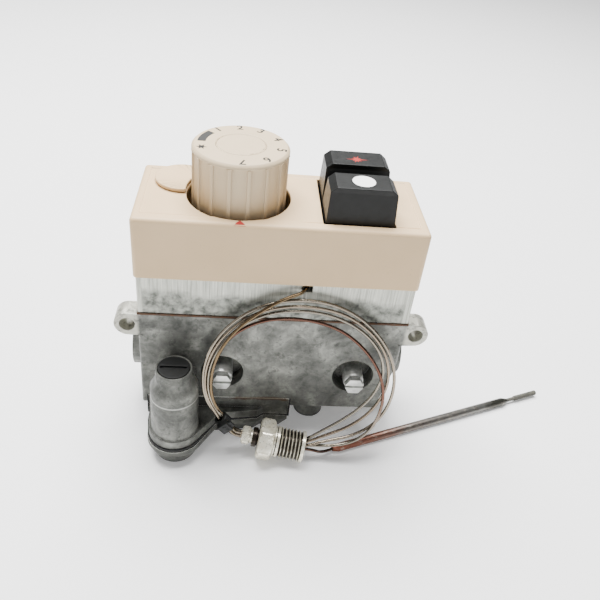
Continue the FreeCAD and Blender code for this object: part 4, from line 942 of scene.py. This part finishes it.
def make_stop_dot():
    """The white dot on the off key."""
    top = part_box("off_key")[1].z / MM
    points = [around_point(DOT_MIDDLE, 2 * math.pi * number / DOT_POINTS, DOT_RADIUS)
              for number in range(DOT_POINTS)]
    build = bmesh.new()
    add_patch(build, points, top)
    piece("stop_dot", finished_mesh("stop_dot", build), "white_ink", "off")


def make_ignition_spark():
    """The red spark on the ignition key."""
    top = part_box("ignition_key")[1].z / MM
    build = bmesh.new()
    add_patch(build, star(SPARK_MIDDLE, SPARK_SPIKES, SPARK_WAIST), top)
    piece("ignition_spark", finished_mesh("ignition_spark", build), "red_ink", "ignition")


POINTER_X, POINTER_FOOT, POINTER_LENGTH, POINTER_HALF_WIDTH = -16.2, -11.0, 2.9, 2.2
POINTER_ROWS = 6
COVER_ROUND = 1.6


def pointer_row(share):
    """The pointer's left and right edges, this share of the way from its foot to its tip."""
    half = POINTER_HALF_WIDTH * (1 - share)
    y = POINTER_FOOT + POINTER_LENGTH * share
    return (POINTER_X - half, y), (POINTER_X + half, y)


def make_pointer():
    """The red triangle on the cover's rounded front border that points at the dial."""
    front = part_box("cover")[0].y / MM
    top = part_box("cover")[1].z / MM

    def cover_height(_, y):
        inside = front + COVER_ROUND - y
        return top if inside <= 0 else top - COVER_ROUND + math.sqrt(COVER_ROUND ** 2 - inside ** 2)

    build = bmesh.new()
    for number in range(POINTER_ROWS):
        low_left, low_right = pointer_row(number / POINTER_ROWS)
        high_left, high_right = pointer_row((number + 1) / POINTER_ROWS)
        add_patch(build, [low_left, low_right, high_right, high_left], cover_height)
    bmesh.ops.remove_doubles(build, verts=build.verts, dist=0.001)
    piece("pointer", finished_mesh("pointer", build), "red_ink", "valve")


# --- capillary ------------------------------------------------------------------------------------

CAPILLARY_RADIUS = 0.7

# The coil's plane: how far back it leans per mm of height, and its depth at the floor.
COIL_LEAN = 0.2
COIL_REST = -28.6
COIL_NORMAL = Vector((0, -1, COIL_LEAN)).normalized()

# Where the turns come down to the tie, on the coil, and where they bend over to the gland.
TIE_APPROACH = (-20.5, 24.8, 0)
BUNDLE_BEND = TIE_MIDDLE.lerp(GLAND_START, 0.55) + Vector((-1, 0, -1))
# How far before the gland's start, and before its end, each strand has a point.
GLAND_APPROACH, GLAND_MOUTH = 2.5, 2.6

# Each strand's turn from the tie in the bundle's cross-section: 0 is towards the coil's inside.
STRAND_ANGLES = (-36, 36, 108, -108, 180)
STRAND_RADIUS = 1.22

LEAD = [(12.4, -6.5, 82), (10.6, -12.3, 81.7)]
TAIL = [(20.6, -27.3, 6.4), (25.2, -25.6, 2.6), (30.3, -22.8, 2)]
# Points of the lead's fall and of each turn: width, height, and how far in front of the coil's plane.
FALLS = [
    [(4.5, 79.8, 0.9), (-1.4, 76.9, 1.7), (-7.8, 72.2, 1.7), (-14.8, 66, 1.7), (-20.9, 57.4, 1.6),
     (-24.6, 47.2, 1.5), (-25.2, 37, 1.4), (-23.2, 29, 1.1)],
    [(24.5, 16.6, -0.6), (32, 22.2, -0.4), (38.8, 28.6, 0), (44.2, 36.2, 0), (47.2, 45, 0),
     (45.2, 54.8, 0), (38.6, 63.6, 0), (28, 70.4, 0), (15, 73.8, 0), (1, 73.2, 0), (-10.8, 68.6, 0),
     (-20, 59.6, 0), (-25.6, 48, 0), (-26.5, 37.6, 0), (-24.4, 29.4, 0)],
    [(25.5, 14.6, 0.2), (34.5, 18.6, 0), (42.2, 25, 0), (47.6, 33.6, 0), (49.8, 43.6, 0),
     (47.4, 54.6, 0), (40.4, 64.6, 0), (29.4, 72.4, 0), (15.6, 75.8, 0), (0.6, 75.2, 0), (-12, 69.8, 0),
     (-21.4, 60.6, 0), (-26.9, 48.8, 0), (-27.9, 37.4, 0), (-25.2, 28.6, 0)],
    [(26.5, 12.2, 0.6), (37, 14.4, 0.2), (46.4, 20.6, 0), (51.6, 30.6, 0), (52.6, 42, 0),
     (49.8, 53.4, 0), (43, 64, 0), (32.6, 73, 0), (18.4, 78.4, 0), (2, 78, 0), (-11.4, 72.6, 0),
     (-22, 62.6, 0), (-27.8, 50, 0), (-28.8, 37.6, 0), (-25.6, 27.6, 0)],
    [(28, 9.6, 1.2), (37.6, 12.2, 1.6), (44.2, 18.2, 1.8), (47.6, 27, 1.8), (48.2, 36.2, 1.6),
     (46.2, 44.8, 1.2), (41.8, 52.6, 0.6), (35.2, 59.8, 0), (26.8, 65.6, -0.6), (16.4, 68.8, -1.2),
     (5, 69.6, -1.6), (-6, 67.8, -1.6), (-15.6, 62.4, -1.6), (-21.8, 54.6, -1.6), (-25.2, 44.8, -1.5),
     (-25.6, 35.4, -1.3), (-23.6, 27.8, -1.0)],
]

def on_coil(width, height, front):
    """A point on the coil's plane, or this far in front of it."""
    return Vector((width, COIL_REST + COIL_LEAN * height, height)) + COIL_NORMAL * front


def strand_offset(heading, angle):
    """Where a strand lies in the bundle's cross-section."""
    side = (COIL_NORMAL - heading * COIL_NORMAL.dot(heading)).normalized()
    inward = side.cross(heading)
    turn = math.radians(angle)
    return (inward * math.cos(turn) + side * math.sin(turn)) * STRAND_RADIUS


def bundle_points(angle):
    """One strand's points from the tie to the mouth of the gland."""
    tie_heading = (BUNDLE_BEND - on_coil(*TIE_APPROACH)).normalized()
    bend_heading = (GLAND_START - TIE_MIDDLE).normalized()
    stations = [(TIE_MIDDLE, tie_heading), (BUNDLE_BEND, bend_heading),
                (GLAND_START - GLAND_HEADING * GLAND_APPROACH, GLAND_HEADING),
                (GLAND_START.lerp(GLAND_END, 0.5), GLAND_HEADING),
                (GLAND_END - GLAND_HEADING * GLAND_MOUTH, GLAND_HEADING)]
    return [place + strand_offset(heading, angle) for place, heading in stations]


def capillary_route():
    """The capillary from the housing's notch, through every turn, to the sensing bulb."""
    route = [Vector(point) for point in LEAD]
    for fall, angle in zip(FALLS, STRAND_ANGLES):
        route += [on_coil(*point) for point in fall]
        route += bundle_points(angle)
    return route + [Vector(point) for point in TAIL]


def make_capillary():
    """The capillary as one smooth tube, in place of its CAD solids."""
    curve = bpy.data.curves.new("capillary", "CURVE")
    curve.dimensions = "3D"
    curve.bevel_depth = CAPILLARY_RADIUS * MM
    curve.bevel_resolution = 4
    curve.resolution_u = 8
    curve.use_fill_caps = True
    route = capillary_route()
    spline = curve.splines.new("NURBS")
    spline.points.add(len(route) - 1)
    for point, place in zip(spline.points, route):
        point.co = (*(place * MM), 1)
    spline.order_u = 3
    spline.use_endpoint_u = True
    item = piece("capillary", curve, "capillary", "valve")
    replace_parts(item, "capillary_lead", "capillary_coil", "capillary_bundle", "capillary_tail")
    return item


# --- assembly -------------------------------------------------------------------------------------


make_camera()
make_floor()
make_lamps()
make_surround()
make_materials()
dress_all()
make_gland()
make_lock_nut()
make_tie()
make_gasket_edge()
make_dial_print()
make_dial_band()
make_stop_dot()
make_ignition_spark()
make_pointer()
make_capillary()
